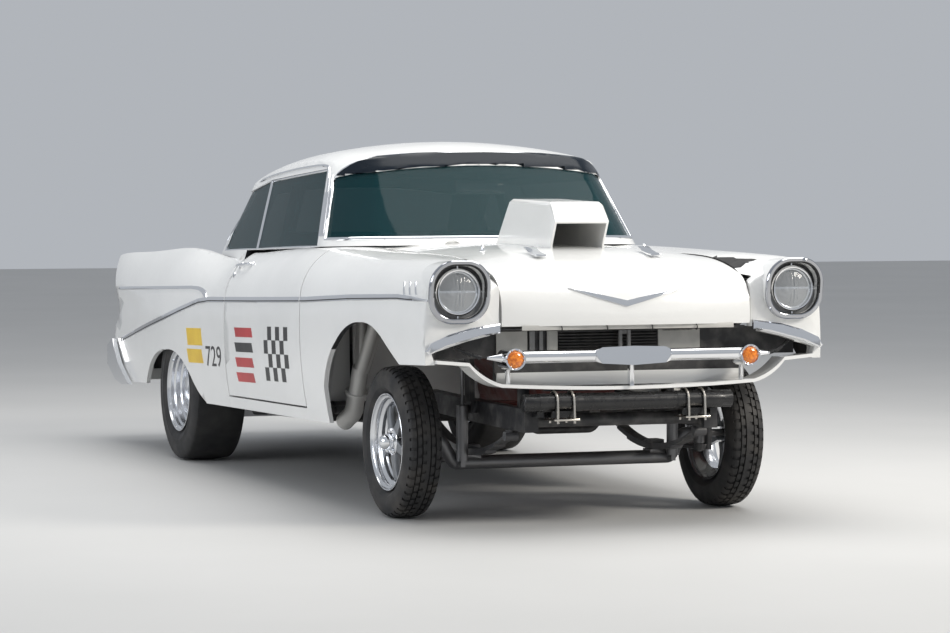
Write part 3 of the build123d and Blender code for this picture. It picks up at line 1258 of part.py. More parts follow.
def tyre_ring(radius, width, rim_width, shoulder):
    """Tyre about the X axis."""
    half = width / 2
    seat = rim_width / 2 - RIM_FLANGE - FIT
    middle = (RIM_LIP + radius) / 2
    with BuildPart(mode=Mode.PRIVATE) as ring:
        with BuildSketch(Plane.XY):
            with BuildLine():
                Line((-seat, BEAD_RADIUS), (-seat, RIM_LIP + 2))
                ThreePointArc((-seat, RIM_LIP + 2), (-half, middle), (-shoulder, radius - 9))
                ThreePointArc((-shoulder, radius - 9), (0, radius), (shoulder, radius - 9))
                ThreePointArc((shoulder, radius - 9), (half, middle), (seat, RIM_LIP + 2))
                Line((seat, RIM_LIP + 2), (seat, BEAD_RADIUS))
                Line((seat, BEAD_RADIUS), (-seat, BEAD_RADIUS))
            make_face()
        revolve(axis=Axis.X)
    return ring.part


def rim_barrel(width, centre_x, disc):
    """Rim about the X axis with a closed centre disc at centre_x."""
    half = width / 2
    with BuildPart(mode=Mode.PRIVATE) as barrel:
        with BuildSketch(Plane.XY):
            with BuildLine():
                Polyline(
                    (-half, RIM_LIP), (-half, RIM_LIP - 6), (-half + 16, RIM_RADIUS - 8), (-half + 40, RIM_RADIUS - 26),
                    (half - 44, RIM_RADIUS - 26), (half - 30, RIM_RADIUS - 12), (half - 12, RIM_RADIUS - 4),
                    (half - 4, RIM_LIP - 8), (half, RIM_LIP - 8), (half, RIM_LIP), (half - 10, RIM_LIP),
                    (half - RIM_FLANGE, RIM_RADIUS + 1), (-half + RIM_FLANGE, RIM_RADIUS + 1), (-half + 10, RIM_LIP), close=True,
                )
            make_face()
        revolve(axis=Axis.X)
        add(rod((centre_x - disc, 0, 0), (centre_x, 0, 0), 62))
    return barrel.part


FRONT_RIM_WIDTH = 136
REAR_RIM_WIDTH = 250
HUB_BORE = 16 + FIT / 3
with BuildPart() as front_wheel:
    add(rim_barrel(FRONT_RIM_WIDTH, 45, 50))
    for turn in range(5):
        spoke = block((4, 34), (-24, 24), (50, RIM_RADIUS - 20))
        add(Location((0, 0, 0), (turn * 72, 0, 0)) * spoke)
    add(rod((45, 0, 0), (72, 0, 0), 34))
    add(rod((-20, 0, 0), (SPINDLE_TIP - FRONT_WHEEL_X + 1, 0, 0), HUB_BORE), mode=Mode.SUBTRACT)
    chamfer(front_wheel.faces().sort_by(Axis.X)[-1].edges(), 8)

with BuildPart() as rear_wheel:
    add(rim_barrel(REAR_RIM_WIDTH, 20, 30))
    add(rod((-10, 0, 0), (6, 0, 0), RIM_RADIUS - 20))
    add(rod((20, 0, 0), (60, 0, 0), 38))
    add(rod((-80, 0, 0), (-8 + FIT, 0, 0), 20 + FIT / 3), mode=Mode.SUBTRACT)

FRONT_TREAD = 66
REAR_TREAD = 120
front_tyre = tyre_ring(FRONT_TYRE_RADIUS, FRONT_TYRE_WIDTH, FRONT_RIM_WIDTH, FRONT_TREAD)
rear_tyre = tyre_ring(REAR_TYRE_RADIUS, REAR_TYRE_WIDTH, REAR_RIM_WIDTH, REAR_TREAD)
CORNERS = (
    ("front_left", FRONT_WHEEL_X, 0, FRONT_TYRE_RADIUS, front_wheel.part, front_tyre),
    ("front_right", -FRONT_WHEEL_X, 0, FRONT_TYRE_RADIUS, front_wheel.part, front_tyre),
    ("rear_left", REAR_WHEEL_X, WHEELBASE, REAR_TYRE_RADIUS, rear_wheel.part, rear_tyre),
    ("rear_right", -REAR_WHEEL_X, WHEELBASE, REAR_TYRE_RADIUS, rear_wheel.part, rear_tyre),
)
for corner, x, y, z, wheel_shape, tyre_shape in CORNERS:
    turn = Location((0, 0, 0), (0, 0, 0 if x > 0 else 180))
    with BuildPart() as wheel:
        add(Location((x, y, z)) * turn * wheel_shape)
    write(wheel, f"wheel_{corner}", AXLE_PLACE)
    with BuildPart() as tyre:
        add(Location((x, y, z)) * turn * tyre_shape)
    write(tyre, f"tyre_{corner}", AXLE_PLACE)
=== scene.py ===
# %% [markdown]
# # A straight-axle drag car
# The car stands nose-up on narrow front tyres and wide rear slicks. Its panels, glass, wheels and
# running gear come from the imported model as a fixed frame. This notebook gives every surface its
# finish and adds what is too fine for the solids: bright trim, tread, lenses, bolts and markings.

import json
import math

import bpy
from mathutils import Matrix, Vector
from mathutils.bvhtree import BVHTree

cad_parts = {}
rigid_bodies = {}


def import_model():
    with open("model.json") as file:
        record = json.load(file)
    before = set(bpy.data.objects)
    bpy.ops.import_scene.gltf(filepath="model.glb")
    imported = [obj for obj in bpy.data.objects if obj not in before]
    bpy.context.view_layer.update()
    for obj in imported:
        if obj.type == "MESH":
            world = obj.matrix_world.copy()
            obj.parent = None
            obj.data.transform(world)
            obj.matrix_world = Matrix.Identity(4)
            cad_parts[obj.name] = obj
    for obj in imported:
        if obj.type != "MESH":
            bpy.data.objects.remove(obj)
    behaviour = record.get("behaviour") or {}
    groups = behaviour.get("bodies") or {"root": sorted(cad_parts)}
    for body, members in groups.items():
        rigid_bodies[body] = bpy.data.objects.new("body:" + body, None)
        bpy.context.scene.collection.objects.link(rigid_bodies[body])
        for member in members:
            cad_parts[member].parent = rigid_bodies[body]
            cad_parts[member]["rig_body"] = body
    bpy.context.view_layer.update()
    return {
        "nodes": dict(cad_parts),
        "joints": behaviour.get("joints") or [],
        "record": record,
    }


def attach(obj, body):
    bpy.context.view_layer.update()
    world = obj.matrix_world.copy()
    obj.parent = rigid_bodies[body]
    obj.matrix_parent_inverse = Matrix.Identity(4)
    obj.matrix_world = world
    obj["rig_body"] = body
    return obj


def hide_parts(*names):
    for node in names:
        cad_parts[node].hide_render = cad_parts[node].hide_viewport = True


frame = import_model()
JOINTS = {joint["name"]: joint for joint in frame["joints"]}
AXLE_Y = JOINTS["front_left_spin"]["pos_m"][1]
REAR_AXLE_Y = JOINTS["rear_left_spin"]["pos_m"][1]
REAR_AXLE_Z = JOINTS["rear_left_spin"]["pos_m"][2]
print("nodes", len(frame["nodes"]), "wheelbase", round(REAR_AXLE_Y - AXLE_Y, 3))

# %% [markdown]
# The body was drawn level and then tipped nose-up over the rear axle. Trim is easier to place on the
# level body, where the sill and the belt line run straight, so one helper turns a level point, measured
# from the front axle and the floor, into the tipped frame of the car.

# %% Level body to standing car
UP_AXIS = Vector(JOINTS["door_right_hinge"]["axis"])
RAKE = math.atan2(UP_AXIS.y, UP_AXIS.z)
BODY_LIFT = 0.025
TIP = Matrix.Rotation(-RAKE, 3, "X")


def on_body(x, y, z):
    """Place on the standing car of a point given on the level body, in metres."""
    level = Vector((x, y - (REAR_AXLE_Y - AXLE_Y), z - REAR_AXLE_Z))
    return TIP @ level + Vector((0, REAR_AXLE_Y, REAR_AXLE_Z + BODY_LIFT))


print("rake", round(math.degrees(RAKE), 2), "degrees")

# %% [markdown]
# The picture was taken with a long lens from the front right corner, a little above the headlamps.
# The camera stands 13 m from the front axle. A long lens keeps the front and rear wheels nearly the
# same size, so the distance matters as much as the angle.

# %% Camera
PHOTO_WIDTH = 950
FOCAL_PIXELS = 3326.8
CAMERA_YAW = math.radians(-20.69)
CAMERA_PITCH = math.radians(-2.68)
CAMERA_ROLL = math.radians(0.15)
CAMERA_PLACE = (-5.382, AXLE_Y - 13.177, 1.5015)
camera_data = bpy.data.cameras.new("camera")
camera_data.sensor_width = 36
camera_data.lens = FOCAL_PIXELS / PHOTO_WIDTH * camera_data.sensor_width
camera_data.clip_end = 200
camera = bpy.data.objects.new("camera", camera_data)
bpy.context.scene.collection.objects.link(camera)
ahead = Vector((
    -math.sin(CAMERA_YAW) * math.cos(CAMERA_PITCH),
    math.cos(CAMERA_YAW) * math.cos(CAMERA_PITCH),
    math.sin(CAMERA_PITCH),
))
level_right = Vector((math.cos(CAMERA_YAW), math.sin(CAMERA_YAW), 0))
level_up = level_right.cross(ahead)
right = math.cos(CAMERA_ROLL) * level_right + math.sin(CAMERA_ROLL) * level_up
up = math.cos(CAMERA_ROLL) * level_up - math.sin(CAMERA_ROLL) * level_right
camera.matrix_world = Matrix((
    (right.x, up.x, -ahead.x, CAMERA_PLACE[0]),
    (right.y, up.y, -ahead.y, CAMERA_PLACE[1]),
    (right.z, up.z, -ahead.z, CAMERA_PLACE[2]),
    (0, 0, 0, 1),
))
bpy.context.scene.camera = camera
print("lens", round(camera_data.lens, 1), "mm")

# %% [markdown]
# White paint only looks white and glossy when it has something to reflect. A sun lamp alone would
# give hard shadows and black reflections, so large area lights are used. A soft panel overhead draws
# the long highlight on the roof and the hood, a warmer one stands for the low sun on the car's left,
# and a cool one fills the shaded right side. The floor is one wide pale plane under an even sky.

# %% Floor, light and tone
STAGE_HALF = 30.0


def stage_material():
    """Pale concrete grey with faint cloudy patches."""
    material = bpy.data.materials.new("pale_floor")
    material.use_nodes = True
    nodes, links = material.node_tree.nodes, material.node_tree.links
    shader = nodes["Principled BSDF"]
    place = nodes.new("ShaderNodeTexCoord")
    cloud = nodes.new("ShaderNodeTexNoise")
    cloud.inputs["Scale"].default_value = 0.6
    cloud.inputs["Detail"].default_value = 6
    tone = nodes.new("ShaderNodeValToRGB")
    tone.color_ramp.elements[0].color = (0.50, 0.50, 0.49, 1)
    tone.color_ramp.elements[1].color = (0.58, 0.575, 0.565, 1)
    links.new(place.outputs["Object"], cloud.inputs["Vector"])
    links.new(cloud.outputs["Fac"], tone.inputs["Fac"])
    links.new(tone.outputs["Color"], shader.inputs["Base Color"])
    shader.inputs["Roughness"].default_value = 0.62
    return material


bpy.ops.mesh.primitive_plane_add(size=2 * STAGE_HALF, location=(0, 0, 0))
floor = bpy.context.object
floor.name = "floor"
bpy.ops.object.transform_apply(location=True, rotation=True, scale=True)
floor.data.materials.append(stage_material())


def soft_panel(name, place, aim, size, power, colour):
    """Large rectangular area light that faces a point."""
    data = bpy.data.lights.new(name, "AREA")
    data.shape = "RECTANGLE"
    data.size, data.size_y = size
    data.energy = power
    data.color = colour
    lamp = bpy.data.objects.new(name, data)
    bpy.context.scene.collection.objects.link(lamp)
    lamp.location = place
    lamp.rotation_euler = (Vector(aim) - Vector(place)).to_track_quat("-Z", "Y").to_euler()
    return lamp


soft_panel("overhead", (0.5, -0.5, 6.0), (0, 0, 0.5), (5, 8), 420, (1, 0.985, 0.96))
soft_panel("sun_side", (7.5, -8.5, 6.5), (0, -1, 0.7), (3.0, 3.0), 900, (1, 0.95, 0.87))
soft_panel("shade_side", (-9.0, -2.0, 3.2), (0, 0, 0.7), (7, 3), 260, (0.93, 0.96, 1))
world = bpy.data.worlds.new("sky")
world.use_nodes = True
world.node_tree.nodes["Background"].inputs["Color"].default_value = (0.80, 0.84, 0.90, 1)
world.node_tree.nodes["Background"].inputs["Strength"].default_value = 0.55
bpy.context.scene.world = world
bpy.context.scene.view_settings.view_transform = "Standard"
bpy.context.scene.view_settings.exposure = 0.0
print("lights", len(bpy.data.lights))

# %% [markdown]
# ## Finishes
# Every finish is a node material that reads Object coordinates, so its grain keeps its scale and does
# not slide when a door opens. Painted image textures would need unwrapped panels, and they blur close
# up. Dust, wear and orange peel all start from the same cloudy noise, so small helpers wire one noise
# into a shader's colour, roughness or bump, and each finish below is a few calls to them.

# %% Finish helpers
def finish(name, colour, roughness, metallic=0.0, **extra):
    """New material with one plain shader, its numbers set on the shader's own sockets."""
    material = bpy.data.materials.new(name)
    material.use_nodes = True
    shader = material.node_tree.nodes["Principled BSDF"]
    shader.inputs["Base Color"].default_value = (*colour, 1)
    shader.inputs["Roughness"].default_value = roughness
    shader.inputs["Metallic"].default_value = metallic
    for socket, value in extra.items():
        shader.inputs[socket.replace("_", " ")].default_value = value
    return material


def object_noise(material, scale, detail=4.0, stretch=(1, 1, 1)):
    """Noise on Object coordinates. Stretch over 1 squeezes the pattern along that axis."""
    nodes, links = material.node_tree.nodes, material.node_tree.links
    place = nodes.new("ShaderNodeTexCoord")
    mapping = nodes.new("ShaderNodeMapping")
    mapping.inputs["Scale"].default_value = stretch
    noise = nodes.new("ShaderNodeTexNoise")
    noise.inputs["Scale"].default_value = scale
    noise.inputs["Detail"].default_value = detail
    links.new(place.outputs["Object"], mapping.inputs["Vector"])
    links.new(mapping.outputs["Vector"], noise.inputs["Vector"])
    return noise.outputs["Fac"]


def vary_colour(material, factor, dark, light, low=0.35, high=0.65):
    """Blend two colours by a pattern and feed the shader."""
    nodes, links = material.node_tree.nodes, material.node_tree.links
    ramp = nodes.new("ShaderNodeValToRGB")
    ramp.color_ramp.elements[0].position = low
    ramp.color_ramp.elements[0].color = (*dark, 1)
    ramp.color_ramp.elements[1].position = high
    ramp.color_ramp.elements[1].color = (*light, 1)
    links.new(factor, ramp.inputs["Fac"])
    links.new(ramp.outputs["Color"], nodes["Principled BSDF"].inputs["Base Color"])


def vary_roughness(material, factor, low, high):
    """Spread the roughness between two values by a pattern."""
    nodes, links = material.node_tree.nodes, material.node_tree.links
    spread = nodes.new("ShaderNodeMapRange")
    spread.inputs["To Min"].default_value = low
    spread.inputs["To Max"].default_value = high
    links.new(factor, spread.inputs["Value"])
    links.new(spread.outputs["Result"], nodes["Principled BSDF"].inputs["Roughness"])


def bump(material, factor, strength, distance):
    """Raise the surface by a pattern, distance in metres."""
    nodes, links = material.node_tree.nodes, material.node_tree.links
    relief = nodes.new("ShaderNodeBump")
    relief.inputs["Strength"].default_value = strength
    relief.inputs["Distance"].default_value = distance
    links.new(factor, relief.inputs["Height"])
    links.new(relief.outputs["Normal"], nodes["Principled BSDF"].inputs["Normal"])


print("finish helpers ready")

# %% [markdown]
# The paint is a warm gloss white with a clear coat. Its orange peel is a fine bump far too small to
# see by itself, but it softens the reflections as sprayed paint does. Metal is told from paint by the
# metallic value, and chrome from cast or worn metal by how much its roughness varies.

# %% Paint and metals
def body_paint():
    """Gloss white with a little dust and orange peel."""
    material = finish("body_paint", (0.82, 0.82, 0.80), 0.22, Coat_Weight=0.6, Coat_Roughness=0.04)
    vary_colour(material, object_noise(material, 1.3, 6), (0.77, 0.77, 0.755), (0.835, 0.832, 0.815))
    vary_roughness(material, object_noise(material, 5.0), 0.18, 0.30)
    bump(material, object_noise(material, 260.0, 2), 0.05, 0.0004)
    return material


def bright_metal(name, colour=(0.86, 0.87, 0.89), low=0.04, high=0.12):
    """Chrome plate with faint haze."""
    material = finish(name, colour, low, 1.0)
    vary_roughness(material, object_noise(material, 18.0, 5), low, high)
    return material


def cast_metal(name, colour, low, high, scale=240.0, metallic=1.0):
    """Metal with a fine pitted skin."""
    material = finish(name, colour, low, metallic)
    vary_roughness(material, object_noise(material, 30.0, 5), low, high)
    bump(material, object_noise(material, scale, 3), 0.25, 0.0006)
    return material


def painted_steel(name, colour, roughness, worn=(0.12, 0.115, 0.11)):
    """Frame paint with dusty patches and small chips of pattern."""
    material = finish(name, colour, roughness)
    vary_colour(material, object_noise(material, 14.0, 8), colour, worn, 0.45, 0.85)
    vary_roughness(material, object_noise(material, 40.0, 4), roughness - 0.1, roughness + 0.2)
    bump(material, object_noise(material, 160.0, 3), 0.15, 0.0005)
    return material


print("paint and metal helpers ready")

# %% [markdown]
# Rubber is dark and dull, with brown dust in patches. Glass could refract light for real, but a car's
# windows are thin sheets, so a see-through glossy surface looks the same and renders much faster.
# Vinyl is a dark skin with a fine leather bump.

# %% Rubber, glass and vinyl
def rubber(name, colour, dusty):
    """Tyre rubber, dark with brown road dust in patches."""
    material = finish(name, colour, 0.62)
    vary_colour(material, object_noise(material, 9.0, 8), colour, dusty, 0.42, 0.78)
    vary_roughness(material, object_noise(material, 22.0, 4), 0.5, 0.8)
    bump(material, object_noise(material, 420.0, 3), 0.3, 0.0006)
    return material


def tinted_glass(name, colour, alpha, shine=0.5, coat=0.3):
    """Thin tinted glass that shows the cabin through it."""
    material = finish(name, colour, 0.03, Alpha=alpha, Coat_Weight=coat, Specular_IOR_Level=shine)
    vary_roughness(material, object_noise(material, 6.0, 5), 0.02, 0.05)
    return material


def vinyl(name, colour):
    """Seat vinyl with a leather grain."""
    material = finish(name, colour, 0.48)
    vary_colour(material, object_noise(material, 30.0, 5), colour, tuple(3 * c for c in colour), 0.4, 0.9)
    bump(material, object_noise(material, 700.0, 2), 0.4, 0.0008)
    return material


print("rubber, glass and vinyl helpers ready")

# %% [markdown]
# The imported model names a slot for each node, such as glass or chrome. A table gives each slot its
# finish, and a loop dresses every solid, so no node keeps the default grey.

# %% Dress the solids
PAINT = body_paint()
CHROME = bright_metal("chrome")
POLISHED = bright_metal("polished_aluminium", (0.74, 0.75, 0.77), 0.12, 0.24)
CAST_GREY = cast_metal("cast_spokes", (0.30, 0.31, 0.325), 0.42, 0.6)
FRAME_BLACK = painted_steel("frame_black", (0.018, 0.018, 0.020), 0.42)
AXLE_GREY = painted_steel("axle_grey", (0.055, 0.055, 0.058), 0.34)
ENGINE_PAINT = painted_steel("engine_paint", (0.10, 0.02, 0.015), 0.4)
CORE_BLACK = painted_steel("radiator_core", (0.028, 0.028, 0.03), 0.5)
HEADER_COAT = cast_metal("header_coating", (0.58, 0.57, 0.545), 0.38, 0.52, 320.0, 0.25)
VINYL_BLACK = vinyl("vinyl_black", (0.022, 0.022, 0.024))
DASH_PAINT = painted_steel("dash_paint", (0.42, 0.42, 0.41), 0.35, (0.30, 0.30, 0.29))
CAGE_BLACK = painted_steel("cage_black", (0.02, 0.02, 0.022), 0.28)
WHEEL_BLACK = cast_metal("wheel_black", (0.02, 0.02, 0.021), 0.3, 0.45, 500.0, 0.0)
GLASS = tinted_glass("tinted_glass", (0.006, 0.034, 0.040), 0.66, 0.18, 0.0)
LENS = tinted_glass("headlamp_lens", (0.80, 0.84, 0.88), 0.30)
TAIL_RED = finish("tail_red", (0.38, 0.008, 0.008), 0.16, Coat_Weight=0.8)
vary_roughness(TAIL_RED, object_noise(TAIL_RED, 60.0), 0.1, 0.25)
TANK = bright_metal("tank_metal", (0.60, 0.61, 0.63), 0.26, 0.42)
FRONT_RUBBER = rubber("front_rubber", (0.016, 0.016, 0.017), (0.060, 0.054, 0.048))
SLICK_RUBBER = rubber("slick_rubber", (0.014, 0.014, 0.015), (0.040, 0.038, 0.036))

SLOT_FINISH = {
    "body_paint": PAINT, "glass": GLASS, "chrome": CHROME, "tyre": FRONT_RUBBER, "front_rim": CAST_GREY,
    "rear_rim": POLISHED, "frame_paint": FRAME_BLACK, "axle_steel": AXLE_GREY, "engine": ENGINE_PAINT,
    "radiator": CORE_BLACK, "header_steel": HEADER_COAT, "interior": VINYL_BLACK, "dash_paint": DASH_PAINT,
    "cage_paint": CAGE_BLACK, "wheel_plastic": WHEEL_BLACK, "lamp_glass": LENS, "tail_glass": TAIL_RED,
    "tank_metal": TANK,
}
SLOT_OF_NODE = {part["node"]: part["material_slot"] for part in frame["record"]["subparts"]}


def dress(obj, material):
    """Give an object one material in every slot."""
    if not obj.data.materials:
        obj.data.materials.append(material)
    for index in range(len(obj.data.materials)):
        obj.data.materials[index] = material


for node, solid in frame["nodes"].items():
    dress(solid, SLOT_FINISH[SLOT_OF_NODE[node]])
for side in ("left", "right"):
    dress(frame["nodes"][f"tyre_rear_{side}"], SLICK_RUBBER)
print("finishes", len(bpy.data.materials))

# %% [markdown]
# ## Smooth panels
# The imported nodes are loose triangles, which shade as facets. The fixed frame may not be changed, so
# each node is copied, its loose corners are merged, and the copy is shaded smooth across shallow
# angles only. Remeshing would also smooth the facets, but it would blur the panel edges. Thin slivers
# of a triangle tilt the shading around them, so they are dissolved first, and a weighted normal lets
# the large faces decide how the light rolls over an edge. Tyres, wheels and headlamps are left out
# here, because they are modelled anew below.

# %% Copies with smooth shading
def select_only(obj):
    """Make one object the only selected and active one."""
    bpy.ops.object.select_all(action="DESELECT")
    obj.select_set(True)
    bpy.context.view_layer.objects.active = obj


def apply_modifier(obj, name, kind, **settings):
    """Add one modifier with its settings and apply it at once."""
    select_only(obj)
    modifier = obj.modifiers.new(name, kind)
    for key, value in settings.items():
        setattr(modifier, key, value)
    bpy.ops.object.modifier_apply(modifier=name)


def drop_frame_keys(piece):
    """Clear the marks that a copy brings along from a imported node."""
    for key in [key for key in piece.keys() if key.startswith("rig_")]:
        del piece[key]


def smooth_copy(node, angle=26):
    """Merged, smooth-shaded copy of a node that rides where the node does and replaces it."""
    source = frame["nodes"][node]
    piece = source.copy()
    piece.data = source.data.copy()
    piece.parent = None
    piece.matrix_world = Matrix.Identity(4)
    piece.name = node + "_skin"
    drop_frame_keys(piece)
    bpy.context.scene.collection.objects.link(piece)
    select_only(piece)
    bpy.ops.object.mode_set(mode="EDIT")
    bpy.ops.mesh.select_all(action="SELECT")
    bpy.ops.mesh.remove_doubles(threshold=0.00015)
    bpy.ops.mesh.dissolve_degenerate(threshold=0.0004)
    bpy.ops.object.mode_set(mode="OBJECT")
    bpy.ops.object.shade_smooth_by_angle(angle=math.radians(angle))
    apply_modifier(piece, "even", "WEIGHTED_NORMAL", keep_sharp=True, weight=60)
    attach(piece, source["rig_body"])
    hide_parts(node)
    return piece


REMADE = ("tyre_", "wheel_front", "wheel_rear", "headlamps")
skins = {node: smooth_copy(node) for node in frame["nodes"] if not node.startswith(REMADE)}
print("smooth copies", len(skins))

# %% [markdown]
# ## Drawing on the body
# Trim on a car follows the skin under it. A moulding could be modelled flat and bent into place, but
# it would never meet the panel everywhere. So each one is drawn as a flat outline in side view, one
# corner after the other as with pencil and paper, and the outline is filled with triangles.

# %% Outlines
def start_line(name):
    """New mesh of a single vertex at the origin, left in edit mode."""
    bpy.ops.object.select_all(action="DESELECT")
    bpy.ops.mesh.primitive_plane_add(size=0.1, location=(0, 0, 0))
    line = bpy.context.object
    line.name = name
    bpy.ops.object.mode_set(mode="EDIT")
    bpy.ops.mesh.select_mode(type="VERT")
    bpy.ops.mesh.select_all(action="SELECT")
    bpy.ops.mesh.merge(type="CENTER")
    return line


def draw_through(points):
    """Extrude the selected vertex from point to point."""
    bpy.ops.transform.translate(value=points[0])
    for start, end in zip(points, points[1:]):
        step = Vector(end) - Vector(start)
        bpy.ops.mesh.extrude_region_move(TRANSFORM_OT_translate={"value": step})


def flat_outline(name, corners):
    """Filled flat outline through 3-D corners."""
    piece = start_line(name)
    draw_through([*corners, corners[0]])
    bpy.ops.mesh.select_all(action="SELECT")
    bpy.ops.mesh.remove_doubles(threshold=0.00001)
    bpy.ops.mesh.edge_face_add()
    bpy.ops.mesh.quads_convert_to_tris(ngon_method="CLIP")
    bpy.ops.object.mode_set(mode="OBJECT")
    return piece


print("outline helpers ready")

# %% [markdown]
# A flat face with corners only at its rim can't follow a curve. Bisecting it every few centimetres
# gives it corners in between. The same cut, with one side cleared, trims a piece at a door seam.

# %% Slices and ends
LAST_SLICE = 0.2


def slice_fields(piece, along, step):
    """Cut a flat piece across, every step metres along a direction."""
    along = Vector(along).normalized()
    reach = [vertex.co.dot(along) for vertex in piece.data.vertices]
    place = min(reach) + step
    select_only(piece)
    bpy.ops.object.mode_set(mode="EDIT")
    while place < max(reach) - LAST_SLICE * step:
        bpy.ops.mesh.select_all(action="SELECT")
        bpy.ops.mesh.bisect(plane_co=along * place, plane_no=along)
        place += step
    bpy.ops.object.mode_set(mode="OBJECT")


def trim_ends(piece, along, low, high):
    """Keep only what lies between two places along a direction."""
    along = Vector(along).normalized()
    select_only(piece)
    bpy.ops.object.mode_set(mode="EDIT")
    for place, inner in ((low, True), (high, False)):
        bpy.ops.mesh.select_all(action="SELECT")
        bpy.ops.mesh.bisect(plane_co=along * place, plane_no=along, clear_inner=inner, clear_outer=not inner)
    bpy.ops.object.mode_set(mode="OBJECT")


def close_shell(piece):
    """Merge doubles and turn every face outwards."""
    select_only(piece)
    bpy.ops.object.mode_set(mode="EDIT")
    bpy.ops.mesh.select_all(action="SELECT")
    bpy.ops.mesh.remove_doubles(threshold=0.00001)
    bpy.ops.mesh.normals_make_consistent(inside=False)
    bpy.ops.object.mode_set(mode="OBJECT")


def hand_over(piece, body, material, angle=35):
    """Shade a finished piece, dress it and let it ride on a body."""
    select_only(piece)
    bpy.ops.object.shade_smooth_by_angle(angle=math.radians(angle))
    dress(piece, material)
    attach(piece, body)
    return piece


SIDES = {"right": -1, "left": 1}
ALONG = on_body(0, 1, 0) - on_body(0, 0, 0)
RISE = on_body(0, 0, 1) - on_body(0, 0, 0)
print("body axes", [round(value, 3) for value in ALONG], [round(value, 3) for value in RISE])

# %% [markdown]
# The sliced outline is thrown onto its panel by a Shrinkwrap modifier that projects along one axis.
# The modifier projects along the piece's own axes, so the piece is tipped with the body first. Corners
# that miss the panel would stay behind as spikes, so they are found and deleted. Solidify and Bevel
# then give the strip a real thickness and soft edges.

# %% Lay a piece on a panel
MISSED = 1e-6


def lay_on(piece, panel, axis, thickness, bevel=0.0):
    """Throw a flat piece onto a panel along one axis of the body, then thicken and bevel it."""
    piece.data.transform(TIP.to_4x4().inverted())
    piece.matrix_world = TIP.to_4x4()
    before = [vertex.co.copy() for vertex in piece.data.vertices]
    apply_modifier(
        piece, "lay", "SHRINKWRAP", target=skins[panel], wrap_method="PROJECT", wrap_mode="ON_SURFACE",
        use_project_x=axis == "X", use_project_y=axis == "Y", use_project_z=axis == "Z",
        use_negative_direction=True, use_positive_direction=True,
    )
    missed = [(vertex.co - start).length < MISSED for vertex, start in zip(piece.data.vertices, before)]
    if any(missed):
        print(piece.name, "corners beside the panel:", sum(missed), "of", len(missed))
        piece.data.vertices.foreach_set("select", missed)
        bpy.ops.object.mode_set(mode="EDIT")
        bpy.ops.mesh.select_mode(type="VERT")
        bpy.ops.mesh.delete(type="VERT")
        bpy.ops.object.mode_set(mode="OBJECT")
    bpy.ops.object.transform_apply(location=True, rotation=True, scale=True)
    apply_modifier(piece, "wall", "SOLIDIFY", thickness=2 * thickness, offset=0)
    close_shell(piece)
    if bevel:
        apply_modifier(piece, "edge", "BEVEL", width=bevel, segments=2, limit_method="ANGLE", angle_limit=0.9)
    return piece


# Panels along each side: name, the body it rides on, and its reach along the level car.
SIDE_PANELS = (
    ("fender", "body", -0.715, 0.774), ("door", "door", 0.800, 1.966), ("quarter_body", "body", 1.990, 4.10),
)
OUTSIDE_X = 1.05
SEAM_SLIVER = 0.004


def side_view(side, corners):
    """Corners of a side view, placed upright just outside the widest panel."""
    return [on_body(SIDES[side] * OUTSIDE_X, y, z) for y, z in corners]


def moulding(name, outline, side, material, thickness=0.005, bevel=0.003, step=0.07):
    """Moulding drawn in side view, cut at the panel seams and laid on the side of the car."""
    ys = [y for y, z in outline]
    base = on_body(0, 0, 0).dot(ALONG)
    for panel, rides, low, high in SIDE_PANELS:
        if min(ys) > high - SEAM_SLIVER or max(ys) < low + SEAM_SLIVER:
            continue
        piece = flat_outline(f"{name}_{panel}_{side}", side_view(side, outline))
        trim_ends(piece, ALONG, base + low, base + high)
        slice_fields(piece, ALONG, step)
        node = panel if panel == "quarter_body" else f"{panel}_{side}"
        lay_on(piece, node, "X", thickness, bevel)
        hand_over(piece, f"{rides}_{side}" if rides == "door" else rides, material)


def ribbon(rows):
    """Outline of a strip from its stations: place along, middle height and width."""
    lower = [(y, z - width / 2) for y, z, width in rows]
    upper = [(y, z + width / 2) for y, z, width in rows]
    return lower + upper[::-1]


print("side panels", [panel for panel, *_ in SIDE_PANELS])

# %% [markdown]
# The long bright spear starts as a point behind the headlamp, runs level over the door and dips
# towards the rear bumper. A second, thinner strip leaves it behind the door and runs along the fin.
# A dark line low on the spear is a painted shadow of its folded edge, and three short slashes sit on
# the fender. A spear is given by a few stations, so its line and its width can be changed apart.

# %% Side mouldings
# Rows: place along, middle height, width.
SPEAR = (
    (-0.735, 0.776, 0.006), (-0.600, 0.786, 0.020), (-0.470, 0.793, 0.023), (0.095, 0.791, 0.024),
    (0.712, 0.781, 0.024), (1.500, 0.779, 0.025), (2.250, 0.779, 0.025), (2.420, 0.770, 0.026),
    (2.700, 0.733, 0.027), (3.000, 0.690, 0.027), (3.336, 0.645, 0.026), (3.640, 0.602, 0.025),
    (3.933, 0.563, 0.022),
)
FIN_STRIP = (
    (2.283, 0.786, 0.006), (2.318, 0.806, 0.030), (2.368, 0.822, 0.022), (2.440, 0.833, 0.017),
    (2.560, 0.838, 0.015), (3.250, 0.838, 0.015), (3.937, 0.838, 0.015),
)
SLASHES = (-0.501, -0.553, -0.605)
SPEAR_SHADOW = painted_steel("spear_painted_shadow", (0.02, 0.02, 0.022), 0.35, (0.03, 0.03, 0.03))
